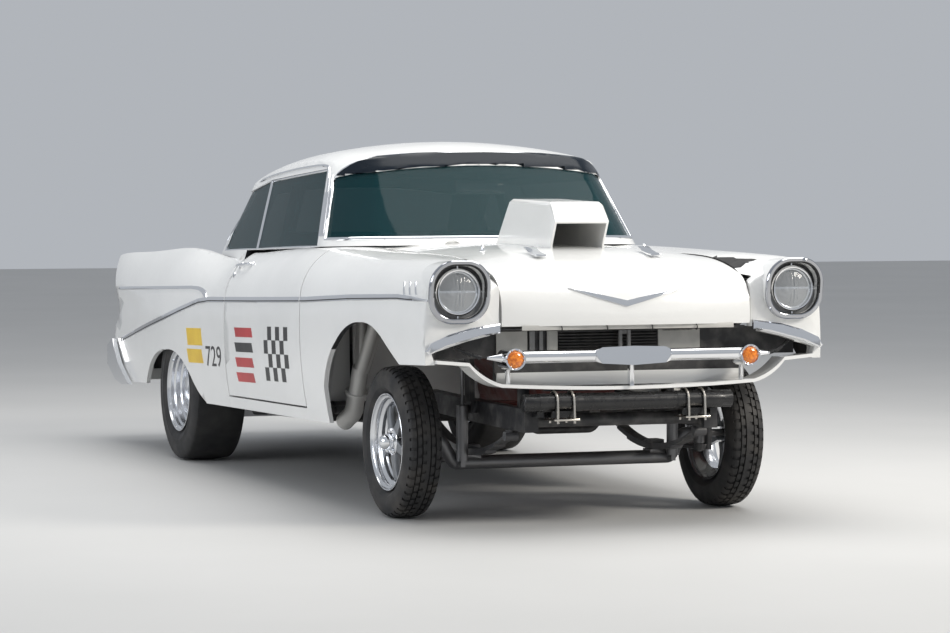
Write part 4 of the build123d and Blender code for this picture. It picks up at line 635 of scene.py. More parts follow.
for side in SIDES:
    moulding("spear", ribbon(SPEAR), side, CHROME, 0.006, 0.004)
    # The dark strip low on the spear is painted shadow of its folded edge.
    shadow_rows = [(y, z - 0.22 * width, 0.20 * width) for y, z, width in SPEAR[1:]]
    moulding("spear_groove", ribbon(shadow_rows), side, SPEAR_SHADOW, 0.0068, 0.0)
    moulding("fin_strip", ribbon(FIN_STRIP), side, CHROME, 0.006, 0.004)
    for place in SLASHES:
        slant = [(place - 0.031, 0.800), (place - 0.021, 0.800), (place + 0.010, 0.854), (place, 0.854)]
        moulding(f"slash_{round(-place * 1000)}", slant, side, CHROME, 0.005, 0.002, 0.02)

# %% [markdown]
# ## Strips along an edge
# The bright frames of the windows follow the edge of the glass. The outer face of each glass is
# selected by its normal, its border is lifted off as a line, the line becomes a curve, and a round
# section swept along it gives a frame that fits however the glass is curved. The same sweep makes
# rods from a list of points.

# %% Round strips from lines
ROD_SIDES = 3


def sweep_line(line, radius, caps=True):
    """Turn a mesh of edges into a round strip."""
    select_only(line)
    bpy.ops.object.convert(target="CURVE")
    line = bpy.context.object
    line.data.bevel_depth = radius
    line.data.bevel_resolution = ROD_SIDES
    line.data.use_fill_caps = caps
    bpy.ops.object.convert(target="MESH")
    strip = bpy.context.object
    close_shell(strip)
    return strip


def rim_line(node, outward, name):
    """Border of the face of a skin that looks outward, as loose edges."""
    skin = skins[node]
    select_only(skin)
    outward = Vector(outward).normalized()
    bpy.ops.object.mode_set(mode="EDIT")
    bpy.ops.mesh.select_mode(type="FACE")
    bpy.ops.mesh.select_all(action="DESELECT")
    bpy.ops.object.mode_set(mode="OBJECT")
    for face in skin.data.polygons:
        face.select = face.normal.dot(outward) > 0.3
    before = set(bpy.data.objects)
    bpy.ops.object.mode_set(mode="EDIT")
    bpy.ops.mesh.region_to_loop()
    bpy.ops.mesh.duplicate()
    bpy.ops.mesh.separate(type="SELECTED")
    bpy.ops.object.mode_set(mode="OBJECT")
    line = (set(bpy.data.objects) - before).pop()
    line.name = name
    drop_frame_keys(line)
    return line


def bent_rod(name, points, radius, rounds=2):
    """Round rod through 3-D points, its corners rounded by a subdivision of the line."""
    if len(points) == 2:
        points = [points[0], (Vector(points[0]) + Vector(points[1])) / 2, points[1]]
    line = start_line(name)
    draw_through(points)
    bpy.ops.object.mode_set(mode="OBJECT")
    if rounds and len(points) > 3:
        apply_modifier(line, "round", "SUBSURF", levels=rounds, render_levels=rounds)
    rod = sweep_line(line, radius)
    rod.name = name
    return rod


print("strip helpers ready")

# %% [markdown]
# Lamps, wheels, caps and nuts are turned parts. Each one is half a section, drawn once and spun about
# its axis, as on a lathe. A revolve modifier would do too, but Spin leaves a plain mesh. The car is
# symmetric, so one side is modelled and its copy is mirrored with its normals turned back out.

# %% Turned parts and copies
def turned(name, profile, centre, axis, steps=48):
    """Shape spun about an axis through centre. Profile rows: place along the axis, radius."""
    axis = Vector(axis).normalized()
    centre = Vector(centre)
    out = axis.orthogonal().normalized()
    piece = start_line(name)
    draw_through([centre + axis * along + out * radius for along, radius in profile])
    bpy.ops.mesh.select_all(action="SELECT")
    bpy.ops.mesh.spin(steps=steps, angle=2 * math.pi, center=centre, axis=axis)
    bpy.ops.object.mode_set(mode="OBJECT")
    close_shell(piece)
    return piece


def copy_by(piece, name, matrix):
    """Copy of a finished piece with its own mesh, carried by a matrix."""
    twin = piece.copy()
    twin.data = piece.data.copy()
    twin.name = name
    drop_frame_keys(twin)
    bpy.context.scene.collection.objects.link(twin)
    twin.data.transform(matrix)
    if matrix.determinant() < 0:
        close_shell(twin)
    return twin


MIRROR = Matrix.Scale(-1, 4, (1, 0, 0))
print("turning and copying ready")

# %% [markdown]
# A thin bright frame runs round every window. The windscreen's is the widest.

# %% Window frames
# Rows: glass, the body it rides on, the way its outer face looks, radius of the frame.
WINDOW_FRAMES = (
    ("windscreen", "body", (0, -1, 0.3), 0.011),
    ("rear_window", "body", (0, 1, 0.6), 0.009),
    ("door_glass_right", "door_right", (-1, 0, 0), 0.007),
    ("door_glass_left", "door_left", (1, 0, 0), 0.007),
)
for glass, rides, outward, radius in WINDOW_FRAMES:
    frame_strip = sweep_line(rim_line(glass, outward, f"{glass}_frame"), radius, False)
    hand_over(frame_strip, rides, CHROME)
for side, sign in SIDES.items():
    quarter_rim = rim_line("quarter_windows", (sign, 0, 0), f"quarter_frame_{side}")
    quarter_frame = sweep_line(quarter_rim, 0.007, False)
    hand_over(quarter_frame, "body", CHROME)
print("window frames", len(WINDOW_FRAMES) + 2)

# %% [markdown]
# A round drip rail climbs the pillar and runs over the side windows. Its route is given in side view,
# and a ray from outside finds the roof at each point, so the rail touches the skin all the way. The
# pillar itself wears a bright cover, laid on as the mouldings are.

# %% Drip rails and pillar covers
def skin_point(node, start, direction):
    """Where a ray from outside meets a skin."""
    mesh = skins[node].data
    tree = BVHTree.FromPolygons([v.co for v in mesh.vertices], [tuple(p.vertices) for p in mesh.polygons])
    return tree.ray_cast(start, Vector(direction))[0]


DRIP = (
    (1.022, 1.060), (1.075, 1.160), (1.130, 1.260), (1.165, 1.330), (1.200, 1.376), (1.262, 1.394),
    (1.480, 1.393),
    (1.700, 1.388), (1.900, 1.380), (2.100, 1.372), (2.300, 1.354), (2.480, 1.328), (2.560, 1.262),
    (2.610, 1.180),
    (2.662, 1.070),
)
PILLAR = (
    (0.990, 1.064), (1.054, 1.064), (1.105, 1.160), (1.157, 1.260), (1.190, 1.328), (1.125, 1.320),
    (1.101, 1.260),
    (1.045, 1.160),
)
for side, sign in SIDES.items():
    route = [skin_point("roof", on_body(sign * 1.2, y, z), (-sign, 0, 0)) for y, z in DRIP]
    hand_over(bent_rod(f"drip_rail_{side}", route, 0.007), "body", CHROME)
    cover = flat_outline(f"pillar_cover_{side}", [on_body(sign * 1.0, y, z) for y, z in PILLAR])
    slice_fields(cover, RISE, 0.04)
    lay_on(cover, "roof", "X", 0.003, 0.001)
    hand_over(cover, "body", CHROME)
print("drip rail points", len(DRIP))

# %% [markdown]
# The windscreen reaches up over the front edge of the roof panel as a dark band with rounded corners,
# and a bright rod follows the band's upper edge. The solid glass ends lower, so the band is a dark
# sheet laid on the roof from the front, and only half of its outline is written down.

# %% Windscreen band
BAND_TOP = (
    (0.0, 1.438), (0.300, 1.434), (0.480, 1.421), (0.560, 1.400), (0.612, 1.372), (0.640, 1.343),
    (0.652, 1.316),
)
BAND_FOOT = ((0.640, 1.318), (0.600, 1.334), (0.500, 1.352), (0.300, 1.366), (0.0, 1.374))
BAND_GLASS = finish("windscreen_band", (0.004, 0.008, 0.014), 0.22, Specular_IOR_Level=0.25)
vary_roughness(BAND_GLASS, object_noise(BAND_GLASS, 6.0, 5), 0.18, 0.26)


def both_halves(points):
    """Left-hand half line, which starts at the middle, with its mirror image in front."""
    return [(-x, z) for x, z in points[:0:-1]] + list(points)


band_outline = both_halves(BAND_TOP) + both_halves(BAND_FOOT[::-1])[::-1]
band = flat_outline("windscreen_band", [on_body(x, 0.3, z) for x, z in band_outline])
slice_fields(band, (1, 0, 0), 0.035)
slice_fields(band, RISE, 0.012)
lay_on(band, "roof", "Y", 0.005)
hand_over(band, "body", BAND_GLASS)
edge = [skin_point("roof", on_body(x, 0.3, z), ALONG) for x, z in both_halves(BAND_TOP)]
hand_over(bent_rod("windscreen_header_trim", edge, 0.007), "body", CHROME)
print("band faces", len(band.data.polygons))

# %% [markdown]
# ## Hood
# A plain pointed strip is laid on the nose of the hood. Two bright folded latches and two lock pins
# hold the hood down. A latch is bent sheet, so its side view is drawn once and given the sheet's
# width, and a pin is a small turned part that stands on the skin.

# %% Nose strip, latches and pins
NOSE_STRIP = (
    (-0.262, 0.820), (-0.140, 0.795), (-0.016, 0.768), (0.120, 0.795), (0.256, 0.822), (0.120, 0.779),
    (-0.016, 0.744), (-0.140, 0.779),
)
LATCH_X, LATCH_Y, LATCH_WIDTH = 0.258, -0.36, 0.052
PIN_X, PIN_Y = 0.372, -0.030
nose_strip = flat_outline("nose_strip", [on_body(x, -1.0, z) for x, z in NOSE_STRIP])
slice_fields(nose_strip, (1, 0, 0), 0.03)
lay_on(nose_strip, "hood", "Y", 0.006, 0.003)
hand_over(nose_strip, "hood", CHROME)


def skin_height(panel, x, y):
    """Level-body height of a panel's top at a place."""
    return (skin_point(panel, on_body(x, y, 2.2), -RISE) - on_body(x, y, 0)).dot(RISE.normalized())


def hood_latch(name, x):
    """Bent sheet latch: a foot on the hood, a raised tongue and a round tip."""
    top = skin_height("hood", x, LATCH_Y)
    fold = (
        (-0.420, -0.003), (-0.360, 0.006), (-0.330, 0.012), (-0.282, 0.034), (-0.278, 0.040), (-0.330, 0.020),
        (-0.362, 0.012), (-0.420, 0.004),
    )
    latch = flat_outline(name, [on_body(x - LATCH_WIDTH / 2, y, top + z) for y, z in fold])
    apply_modifier(latch, "width", "SOLIDIFY", thickness=LATCH_WIDTH, offset=-1)
    close_shell(latch)
    apply_modifier(latch, "edge", "BEVEL", width=0.002, segments=2, limit_method="ANGLE", angle_limit=0.6)
    return hand_over(latch, "hood", CHROME)


for side, sign in SIDES.items():
    hood_latch(f"hood_latch_{side}", sign * LATCH_X)
    pin_place = on_body(sign * PIN_X, PIN_Y, skin_height("hood", sign * PIN_X, PIN_Y) - 0.001)
    pin_profile = ((0, 0.017), (0.002, 0.017), (0.003, 0.006), (0.020, 0.006), (0.023, 0.004), (0.026, 0.0))
    pin = turned(f"lock_pin_{side}", ((0, 0.0), *pin_profile), pin_place, RISE, 24)
    hand_over(pin, "hood", CHROME)
print("hood trim done")

# %% [markdown]
# ## Headlamps
# Each headlamp is a set of turned parts: a bright bowl behind, a clear domed lens with upright flutes,
# and a retaining ring. The flutes could be a bump in the material, but real ridges bend the light at
# the rim too, so the corners of the spun lens are moved by a wave.

# %% Lamp finishes and fluted lens
LAMP_X, LAMP_Z = 0.742, 0.810
LAMP_FACE_Y = -0.712
AMBER_PLACE = (0.520, -0.771, 0.538)
FORWARD = -ALONG
BOWL = bright_metal("lamp_bowl", (0.72, 0.74, 0.76), 0.10, 0.22)
SURROUND_GREY = painted_steel("lamp_surround_grey", (0.16, 0.165, 0.17), 0.38)
# The black sheet over each lamp is partly black paint and partly painted shadow in the top of the housing.
LAMP_SHADOW_BLACK = painted_steel("lamp_painted_shadow_black", (0.012, 0.012, 0.014), 0.3, (0.03, 0.03, 0.03))
FLUTE_DEPTH = 0.0022
SURROUNDS = (("upper", 0.006, 0.104, LAMP_SHADOW_BLACK), ("lower", -0.104, -0.002, SURROUND_GREY))
AMBER = finish("amber_lens", (0.78, 0.20, 0.01), 0.14, Coat_Weight=0.8)
vary_colour(AMBER, object_noise(AMBER, 90.0, 3), (0.50, 0.10, 0.005), (0.86, 0.26, 0.015))


def fluted_dome(name, centre, radius, rise, flutes):
    """Domed lens whose face is pressed into upright flutes."""
    profile = [(rise * (1 - (step / 8) ** 2), radius * step / 8) for step in range(9)]
    dome = turned(name, profile + [(-0.004, radius)], centre, FORWARD, 64)
    select_only(dome)
    for vertex in dome.data.vertices:
        across = vertex.co.x - centre.x
        inside = max(0.0, 1 - (vertex.co - centre).length / radius)
        vertex.co += FORWARD * FLUTE_DEPTH * math.sin(across * flutes) * min(1.0, 3 * inside)
    return dome


print("lamp finishes ready")

# %% [markdown]
# A sheet fills the housing around the lamp, black above and grey below. The black upper sheet is partly
# the housing's black paint and partly painted shadow, so that the lamp stands in its own shade. Four small
# tabs hold the ring. The round amber lamps at the ends of the grille bar get a domed lens in the same way.

# %% Lamp parts
for side, sign in SIDES.items():
    centre = on_body(sign * LAMP_X, LAMP_FACE_Y, LAMP_Z)
    bowl_profile = (
        (-0.020, 0.0), (-0.019, 0.03), (-0.012, 0.06), (0.004, 0.088), (0.004, 0.094), (-0.022, 0.094),
    )
    hand_over(turned(f"lamp_bowl_{side}", bowl_profile, centre, FORWARD), "body", BOWL)
    lens = fluted_dome(f"lamp_lens_{side}", centre + FORWARD * 0.008, 0.083, 0.020, 420)
    hand_over(lens, "body", LENS, 60)
    ring_profile = (
        (-0.010, 0.082), (0.012, 0.082), (0.016, 0.084), (0.017, 0.089), (0.013, 0.094), (0.008, 0.096),
        (-0.010, 0.096), (-0.010, 0.082),
    )
    ring = turned(f"lamp_ring_{side}", ring_profile, centre, FORWARD, 64)
    hand_over(ring, "body", CHROME)
    for part, low, high, material in SURROUNDS:
        flank, shoulder = high * 0.35 + low * 0.65, high * 0.8 + low * 0.2
        corners = [
            (-0.106, low), (0.106, low), (0.106, flank), (0.088, shoulder),
            (0.052, high), (-0.052, high), (-0.088, shoulder), (-0.106, flank),
        ]
        if part == "lower":
            corners = [(x, low + high - z) for x, z in corners]
        sheet = flat_outline(
            f"lamp_sheet_{part}_{side}",
            [on_body(sign * LAMP_X + x, LAMP_FACE_Y + 0.004, LAMP_Z + z) for x, z in corners],
        )
        apply_modifier(sheet, "wall", "SOLIDIFY", thickness=0.004, offset=0)
        close_shell(sheet)
        hand_over(sheet, "body", material)
    for turn in range(4):
        angle = turn * math.pi / 2
        out = Vector((math.cos(angle), 0, 0)) + RISE * math.sin(angle)
        tab = bent_rod(f"lamp_tab_{turn}_{side}", [centre + out * 0.094, centre + out * 0.107], 0.004)
        hand_over(tab, "body", CHROME)
    amber_profile = ((-0.002, 0.036), (0.004, 0.034), (0.010, 0.026), (0.013, 0.014), (0.014, 0.0))
    amber_place = on_body(sign * AMBER_PLACE[0], *AMBER_PLACE[1:])
    amber = turned(f"amber_lens_{side}", ((-0.002, 0.0), *amber_profile), amber_place, FORWARD, 40)
    hand_over(amber, "body", AMBER)
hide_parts("headlamps")

# %% [markdown]
# ## Front tyres
# A treaded tyre is one profile spun about the axle, with grooves between its ribs. A tread in the
# bump only would leave the tyre's outline smooth against the floor, so the ribs are real: every third
# slice of their faces is pushed in towards the axle, and each rib starts one slice later.

# %% Treaded front tyre
TYRE_STEPS = 144
BLOCK_DEPTH = 0.0055
LEFT_WHEEL = Vector(JOINTS["front_left_spin"]["pos_m"])
TREAD_PROFILE = (
    (-0.050, 0.193), (-0.055, 0.207), (-0.066, 0.216), (-0.078, 0.232), (-0.0825, 0.256), (-0.080, 0.276),
    (-0.0745, 0.292), (-0.070, 0.3015), (-0.064, 0.310), (-0.058, 0.3140), (-0.043, 0.3168),
    (-0.0425, 0.3095),
    (-0.0385, 0.3095), (-0.038, 0.3175), (-0.021, 0.3192), (-0.0205, 0.3110), (-0.0165, 0.3110),
    (-0.016, 0.3196),
    (0.0, 0.3200),
)


def mirrored_profile(half):
    """Profile of both sides from the rows of one side."""
    return [*half, *[(-along, radius) for along, radius in half[-2::-1]]]


def treaded_tyre(name, centre):
    """Tyre spun from its profile, with its ribs and shoulders cut into blocks."""
    tyre = turned(name, mirrored_profile(TREAD_PROFILE), centre, (1, 0, 0), TYRE_STEPS)
    select_only(tyre)
    bpy.ops.object.mode_set(mode="EDIT")
    bpy.ops.mesh.select_mode(type="FACE")
    bpy.ops.mesh.select_all(action="DESELECT")
    bpy.ops.object.mode_set(mode="OBJECT")
    for face in tyre.data.polygons:
        spot = face.center - centre
        radius = math.hypot(spot.y, spot.z)
        slice_number = round((math.atan2(spot.z, spot.y) / (2 * math.pi)) * TYRE_STEPS - 0.5)
        across = abs(spot.x)
        shift = 0 if across > 0.043 else 1 if across > 0.021 else 2
        rib = radius > 0.3125 and abs(face.normal.x) < 0.6 and across > 0.008
        shoulder = across > 0.060 and 0.300 < radius < 0.3145
        face.select = (rib or shoulder) and (slice_number + shift) % 3 == 0
    bpy.ops.object.mode_set(mode="EDIT")
    bpy.ops.mesh.extrude_region_shrink_fatten(TRANSFORM_OT_shrink_fatten={"value": -BLOCK_DEPTH})
    bpy.ops.mesh.select_mode(type="VERT")
    bpy.ops.object.mode_set(mode="OBJECT")
    return tyre


first_tyre = treaded_tyre("front_tyre_left", LEFT_WHEEL)
second_tyre = copy_by(first_tyre, "front_tyre_right", MIRROR)
for side, tyre in (("left", first_tyre), ("right", second_tyre)):
    hand_over(tyre, f"front_wheel_{side}", FRONT_RUBBER, 25)
    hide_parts(f"tyre_front_{side}")
print("front tyre faces", len(first_tyre.data.polygons))

# %% [markdown]
# ## Rear slicks
# The slick has a bare tread, wide and nearly square. Its section carries what the light catches: a
# raised ring on the sidewall, a bulge where the tyre is low on air, and a fine line at the shoulder.

# %% Rear slicks
REAR_WHEEL = Vector(JOINTS["rear_left_spin"]["pos_m"])
SLICK_PROFILE = (
    (-0.105, 0.193), (-0.109, 0.208), (-0.118, 0.213), (-0.124, 0.222), (-0.130, 0.238), (-0.1325, 0.248),
    (-0.1345, 0.250), (-0.1345, 0.262), (-0.1335, 0.264), (-0.134, 0.284), (-0.1325, 0.304), (-0.129, 0.3210),
    (-0.1245, 0.3330), (-0.1190, 0.3400), (-0.1140, 0.3425), (-0.1120, 0.3415), (-0.1095, 0.3435),
    (-0.080, 0.3475),
    (-0.040, 0.3495), (0.0, 0.3500),
)
first_slick = turned("slick_left", mirrored_profile(SLICK_PROFILE), REAR_WHEEL, (1, 0, 0), 128)
second_slick = copy_by(first_slick, "slick_right", MIRROR)
for side, tyre in (("left", first_slick), ("right", second_slick)):
    hand_over(tyre, f"rear_wheel_{side}", SLICK_RUBBER, 30)
    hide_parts(f"tyre_rear_{side}")
print("slick faces", len(first_slick.data.polygons))

# %% [markdown]
# ## Front wheels
# The front wheel is a polished rim with stepped rings and five rounded grey spokes around a bright
# pointed cap. The rim and the cap are spun. A spoke is a box that is drawn out from the hub, narrowed,
# leant inwards and rounded by a subdivision, and it is made five times, turned about the axle. The
# extruded spoke keeps its soft cast edges, which a spoke cut out of a disc would lack.

# %% Front rims and caps
FRONT_RIM = (
    (-0.066, 0.1985), (-0.068, 0.2055), (-0.062, 0.2065), (-0.056, 0.198), (-0.052, 0.191), (-0.036, 0.186),
    (-0.020, 0.172), (0.020, 0.172), (0.036, 0.186), (0.052, 0.191), (0.056, 0.198), (0.062, 0.2065),
    (0.068, 0.2060),
    (0.0695, 0.2035), (0.068, 0.2005), (0.062, 0.1975), (0.058, 0.1925), (0.0565, 0.1870), (0.052, 0.1850),
    (0.040, 0.1835), (0.036, 0.1795), (0.0345, 0.1740), (0.030, 0.1690), (0.016, 0.1665), (0.012, 0.1620),
    (0.010, 0.1560), (-0.020, 0.1560), (-0.036, 0.176), (-0.054, 0.184), (-0.066, 0.1985),
)
rim_left = turned("front_rim_left", FRONT_RIM, LEFT_WHEEL, (1, 0, 0), 96)
CAP = (
    (0.030, 0.0), (0.030, 0.058), (0.040, 0.058), (0.044, 0.052), (0.046, 0.037), (0.058, 0.036),
    (0.072, 0.034),
    (0.084, 0.029), (0.092, 0.021), (0.096, 0.010), (0.097, 0.0),
)
cap_left = turned("front_cap_left", CAP, LEFT_WHEEL, (1, 0, 0), 48)
rim_right = copy_by(rim_left, "front_rim_right", MIRROR)
cap_right = copy_by(cap_left, "front_cap_right", MIRROR)
for side, rim, cap in (("left", rim_left, cap_left), ("right", rim_right, cap_right)):
    body = f"front_wheel_{side}"
    hand_over(rim, body, POLISHED, 30)
    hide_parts(f"wheel_front_{side}")
    hand_over(cap, body, CHROME, 30)
print("front rim faces", len(rim_left.data.polygons))

# %% [markdown]
# Now the spokes and the wheel nuts. A cube at the hub is drawn outwards face by face, and each step is
# resized, which is how a cast spoke is shaped by hand.

# %% Spokes and nuts
WHEEL_PARTS = 5
# Rows: rise, lean outwards, change of width, change of depth.
SPOKE_STEPS = ((0.022, 0.002, 0.86, 0.9), (0.040, -0.003, 0.92, 0.85), (0.038, -0.006, 1.35, 0.9))
NUT_PROFILE = ((-0.004, 0.0), (-0.004, 0.0105), (0.012, 0.0105), (0.017, 0.007), (0.018, 0.0))


def around(centre, out, turn, radius):
    """Place on a circle about a wheel's axle: out along the axle, turned, at a radius."""
    return centre + Vector((out, 0, 0)) + Matrix.Rotation(turn, 3, "X") @ Vector((0, 0, radius))


def spoke(name, centre, turn):
    """One cast spoke: a face on the hub drawn outwards in steps, each step narrower or wider."""
    bpy.ops.object.select_all(action="DESELECT")
    bpy.ops.mesh.primitive_cube_add(size=1, location=(0, 0, 0))
    piece = bpy.context.object
    piece.name = name
    piece.scale = (0.034, 0.050, 0.012)
    piece.location = (0.024, 0, 0.047)
    bpy.ops.object.transform_apply(location=True, rotation=True, scale=True)
    bpy.ops.object.mode_set(mode="EDIT")
    bpy.ops.mesh.select_mode(type="FACE")
    bpy.ops.mesh.select_all(action="DESELECT")
    bpy.ops.object.mode_set(mode="OBJECT")
    for face in piece.data.polygons:
        face.select = face.normal.z > 0.9
    bpy.ops.object.mode_set(mode="EDIT")
    for rise, lean, width, depth in SPOKE_STEPS:
        bpy.ops.mesh.extrude_region_move(TRANSFORM_OT_translate={"value": (lean, 0, rise)})
        bpy.ops.transform.resize(value=(depth, width, 1))
    bpy.ops.mesh.extrude_region_move(TRANSFORM_OT_translate={"value": (-0.004, 0, 0.012)})
    bpy.ops.mesh.select_mode(type="VERT")
    bpy.ops.object.mode_set(mode="OBJECT")
    apply_modifier(piece, "edge", "BEVEL", width=0.006, segments=3, limit_method="ANGLE", angle_limit=0.6)
    apply_modifier(piece, "round", "SUBSURF", levels=1, render_levels=1)
    piece.data.transform(Matrix.Translation(centre) @ Matrix.Rotation(turn, 4, "X"))
    return piece


def both_wheels(piece, name, wheel, material, angle):
    """Mirror a left wheel's piece to the right and hand both over. A name holds a gap for the side."""
    twin = copy_by(piece, name.format("right"), MIRROR)
    for side, part in (("left", piece), ("right", twin)):
        hand_over(part, f"{wheel}_{side}", material, angle)


for index in range(WHEEL_PARTS):
    turn = math.radians(36) + 2 * math.pi * index / WHEEL_PARTS
    arm = spoke(f"spoke_left_{index}", LEFT_WHEEL, turn)
    both_wheels(arm, f"spoke_{{}}_{index}", "front_wheel", CAST_GREY, 50)
    nut_place = around(LEFT_WHEEL, 0.042, turn + 0.63, 0.046)
    nut = turned(f"wheel_nut_left_{index}", NUT_PROFILE, nut_place, (1, 0, 0), 6)
    both_wheels(nut, f"wheel_nut_{{}}_{index}", "front_wheel", CHROME, 20)
spoke_names = [name for name in bpy.data.objects.keys() if name.startswith("spoke")]
print("spokes", len(spoke_names))

# %% [markdown]
# ## Rear wheels
# The rear rim is deep and polished, with rings stepped inwards like a funnel, and a flat centre with a
# small hub and nuts at the bottom of it. The whole section is one closed profile, so a single spin
# makes the barrel, the steps and the centre. Small balance weights sit inside the lip.

# %% Rear rims
REAR_RIM = (
    (-0.122, 0.1985), (-0.125, 0.2055), (-0.119, 0.2065), (-0.113, 0.198), (-0.109, 0.191), (-0.060, 0.184),
    (0.060, 0.184), (0.109, 0.191), (0.113, 0.198), (0.119, 0.2065), (0.125, 0.2060), (0.1265, 0.2035),
    (0.125, 0.2000), (0.117, 0.1970), (0.113, 0.1915), (0.110, 0.1870), (0.096, 0.1855), (0.092, 0.1800),
    (0.088, 0.1765), (0.066, 0.1755), (0.062, 0.1700), (0.058, 0.1660), (0.030, 0.1650), (0.026, 0.1595),
    (0.022, 0.1560), (0.008, 0.1500), (0.004, 0.1380), (0.006, 0.0900), (0.016, 0.0800), (0.022, 0.0640),
    (0.022, 0.0460), (0.050, 0.0440), (0.062, 0.0400), (0.066, 0.0300), (0.067, 0.0),
    (-0.012, 0.0), (-0.012, 0.1560), (-0.100, 0.178), (-0.122, 0.1985),
)
rear_rim_left = turned("rear_rim_left", REAR_RIM, REAR_WHEEL, (1, 0, 0), 96)
rear_rim_right = copy_by(rear_rim_left, "rear_rim_right", MIRROR)
for side, rim in (("left", rear_rim_left), ("right", rear_rim_right)):
    hand_over(rim, f"rear_wheel_{side}", POLISHED, 28)
    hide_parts(f"wheel_rear_{side}")
REAR_NUT = ((-0.006, 0.0), (-0.006, 0.011), (0.018, 0.011), (0.024, 0.007), (0.025, 0.0))
RIM_WEIGHT = ((-0.002, 0.0), (-0.002, 0.005), (0.006, 0.004), (0.008, 0.0))
for index in range(WHEEL_PARTS):
    turn = 2 * math.pi * index / WHEEL_PARTS
    nut = turned(f"rear_nut_left_{index}", REAR_NUT, around(REAR_WHEEL, 0.018, turn, 0.060), (1, 0, 0), 6)
    both_wheels(nut, f"rear_nut_{{}}_{index}", "rear_wheel", CHROME, 20)
    if index:
        place = around(REAR_WHEEL, 0.114, turn + 0.5, 0.190)
        weight = turned(f"rear_weight_left_{index}", RIM_WEIGHT, place, (1, 0, 0), 12)
        both_wheels(weight, f"rear_weight_{{}}_{index}", "rear_wheel", CHROME, 30)
print("rear rim faces", len(rear_rim_left.data.polygons))

# %% [markdown]
# ## Inner faces
# A panel has its gloss paint outside and something darker inside. Separate linings could be modelled,
# but they would show only through dark glass and wheel openings. So the inner faces of each panel are
# found by the way they look and get a second material: a near-black headlining, which is painted shade
# of the cabin, black door trim, darkened as painted shade too, and dull underbody black in the wheelhouses.

# %% Inner faces
# The near-black headlining is painted shade of the cabin.
HEADLINER_SHADE = finish("headliner_painted_shade", (0.010, 0.011, 0.014), 0.9)
vary_colour(HEADLINER_SHADE, object_noise(HEADLINER_SHADE, 60.0, 4), (0.007, 0.008, 0.011), (0.016, 0.017, 0.021))
UNDERBODY = painted_steel("underbody", (0.010, 0.010, 0.011), 0.7, (0.03, 0.029, 0.027))
# Darker chrome for the headlamp rims is painted shade: it stands for the dark reflections in the lamp
# housings.
DARK_CHROME = bright_metal("shaded_chrome", (0.46, 0.47, 0.50), 0.06, 0.14)
TUBE_GREY = cast_metal("tube_grey", (0.20, 0.20, 0.205), 0.36, 0.5, 300.0, 0.7)
GLOSS_BLACK = painted_steel("gloss_black", (0.010, 0.010, 0.011), 0.24, (0.022, 0.022, 0.022))
CABIN_CENTRE = on_body(0, 1.75, 1.05)
LAMP_HOUSING_Y = -0.56
SHOCK_X, SHOCK_HALF, SHOCK_Y = 0.485, 0.035, -0.02


def face_paint(node, material, chosen):
    """Give the faces of a skin that pass a test another material."""
    mesh = skins[node].data
    mesh.materials.append(material)
    slot = len(mesh.materials) - 1
    count = 0
    for face in mesh.polygons:
        if chosen(face.center, face.normal):
            face.material_index = slot
            count += 1
    print(node, material.name, "faces", count)


def looks_into_cabin(centre, normal):
    """Whether a face is turned towards the middle of the cabin."""
    return normal.dot((CABIN_CENTRE - centre).normalized()) > 0.12


def level_place(point):
    """Level-body coordinates of a place on the standing car."""
    level = TIP.inverted() @ (point - Vector((0, REAR_AXLE_Y, REAR_AXLE_Z + BODY_LIFT)))
    return level + Vector((0, REAR_AXLE_Y - AXLE_Y, REAR_AXLE_Z))


def looks_inward(sign, least):
    """Test for faces turned towards the middle of the car by at least a share."""
    return lambda centre, normal: normal.x * sign < -least


def wheelhouse(sign):
    """Test for a fender's inner and lower faces, behind the headlamp housing."""
    return lambda centre, normal: (
        level_place(centre).y > LAMP_HOUSING_Y and (normal.x * sign < -0.25 or normal.z < -0.8)
    )


def shock_tube(centre, normal):
    """Test for the faces of the shock absorbers, which stand ahead of the axle."""
    return abs(abs(centre.x) - SHOCK_X) < SHOCK_HALF and level_place(centre).y < SHOCK_Y


def inside_lamp_rim(centre, normal):
    """Test for the faces of a lamp's rim that look at the lamp."""
    flat = Vector((1, 0, 1))
    lamp = on_body(math.copysign(LAMP_X, centre.x), 0, LAMP_Z)
    return normal.dot(lamp * flat - centre * flat) > 0.03


# Painted shade of the cabin: the roof's inner faces get the near-black headlining, and the doors' inner faces
# get black vinyl.
face_paint("roof", HEADLINER_SHADE, looks_into_cabin)
for side, sign in SIDES.items():
    face_paint(f"door_{side}", VINYL_BLACK, looks_inward(sign, 0.5))
    face_paint(f"fender_{side}", UNDERBODY, wheelhouse(sign))
face_paint("quarter_body", UNDERBODY, lambda centre, normal: normal.x * centre.x < -0.2 * abs(centre.x))
face_paint("front_suspension", TUBE_GREY, shock_tube)
dress(skins["front_crossbar"], GLOSS_BLACK)
dress(skins["tie_rod"], TUBE_GREY)
dress(skins["front_axle"], TUBE_GREY)
rims = skins["headlamp_rims"]
dress(rims, DARK_CHROME)
apply_modifier(rims, "roll", "BEVEL", width=0.007, segments=3, limit_method="ANGLE", angle_limit=0.9)
# The rims' inner faces are painted black: partly the housing's black paint, partly painted shadow in the
# housing.
face_paint("headlamp_rims", GLOSS_BLACK, inside_lamp_rim)

# %% [markdown]
# ## Behind the grille bar
# The radiator is a stack of thin dark louvres between pale side sheets, with a grey post in front.
# Dark lines in a material would look flat from a step away, so each louvre is a thin plate that leans
# back, and light falls between them. Everything here is the same plate helper with other corners.

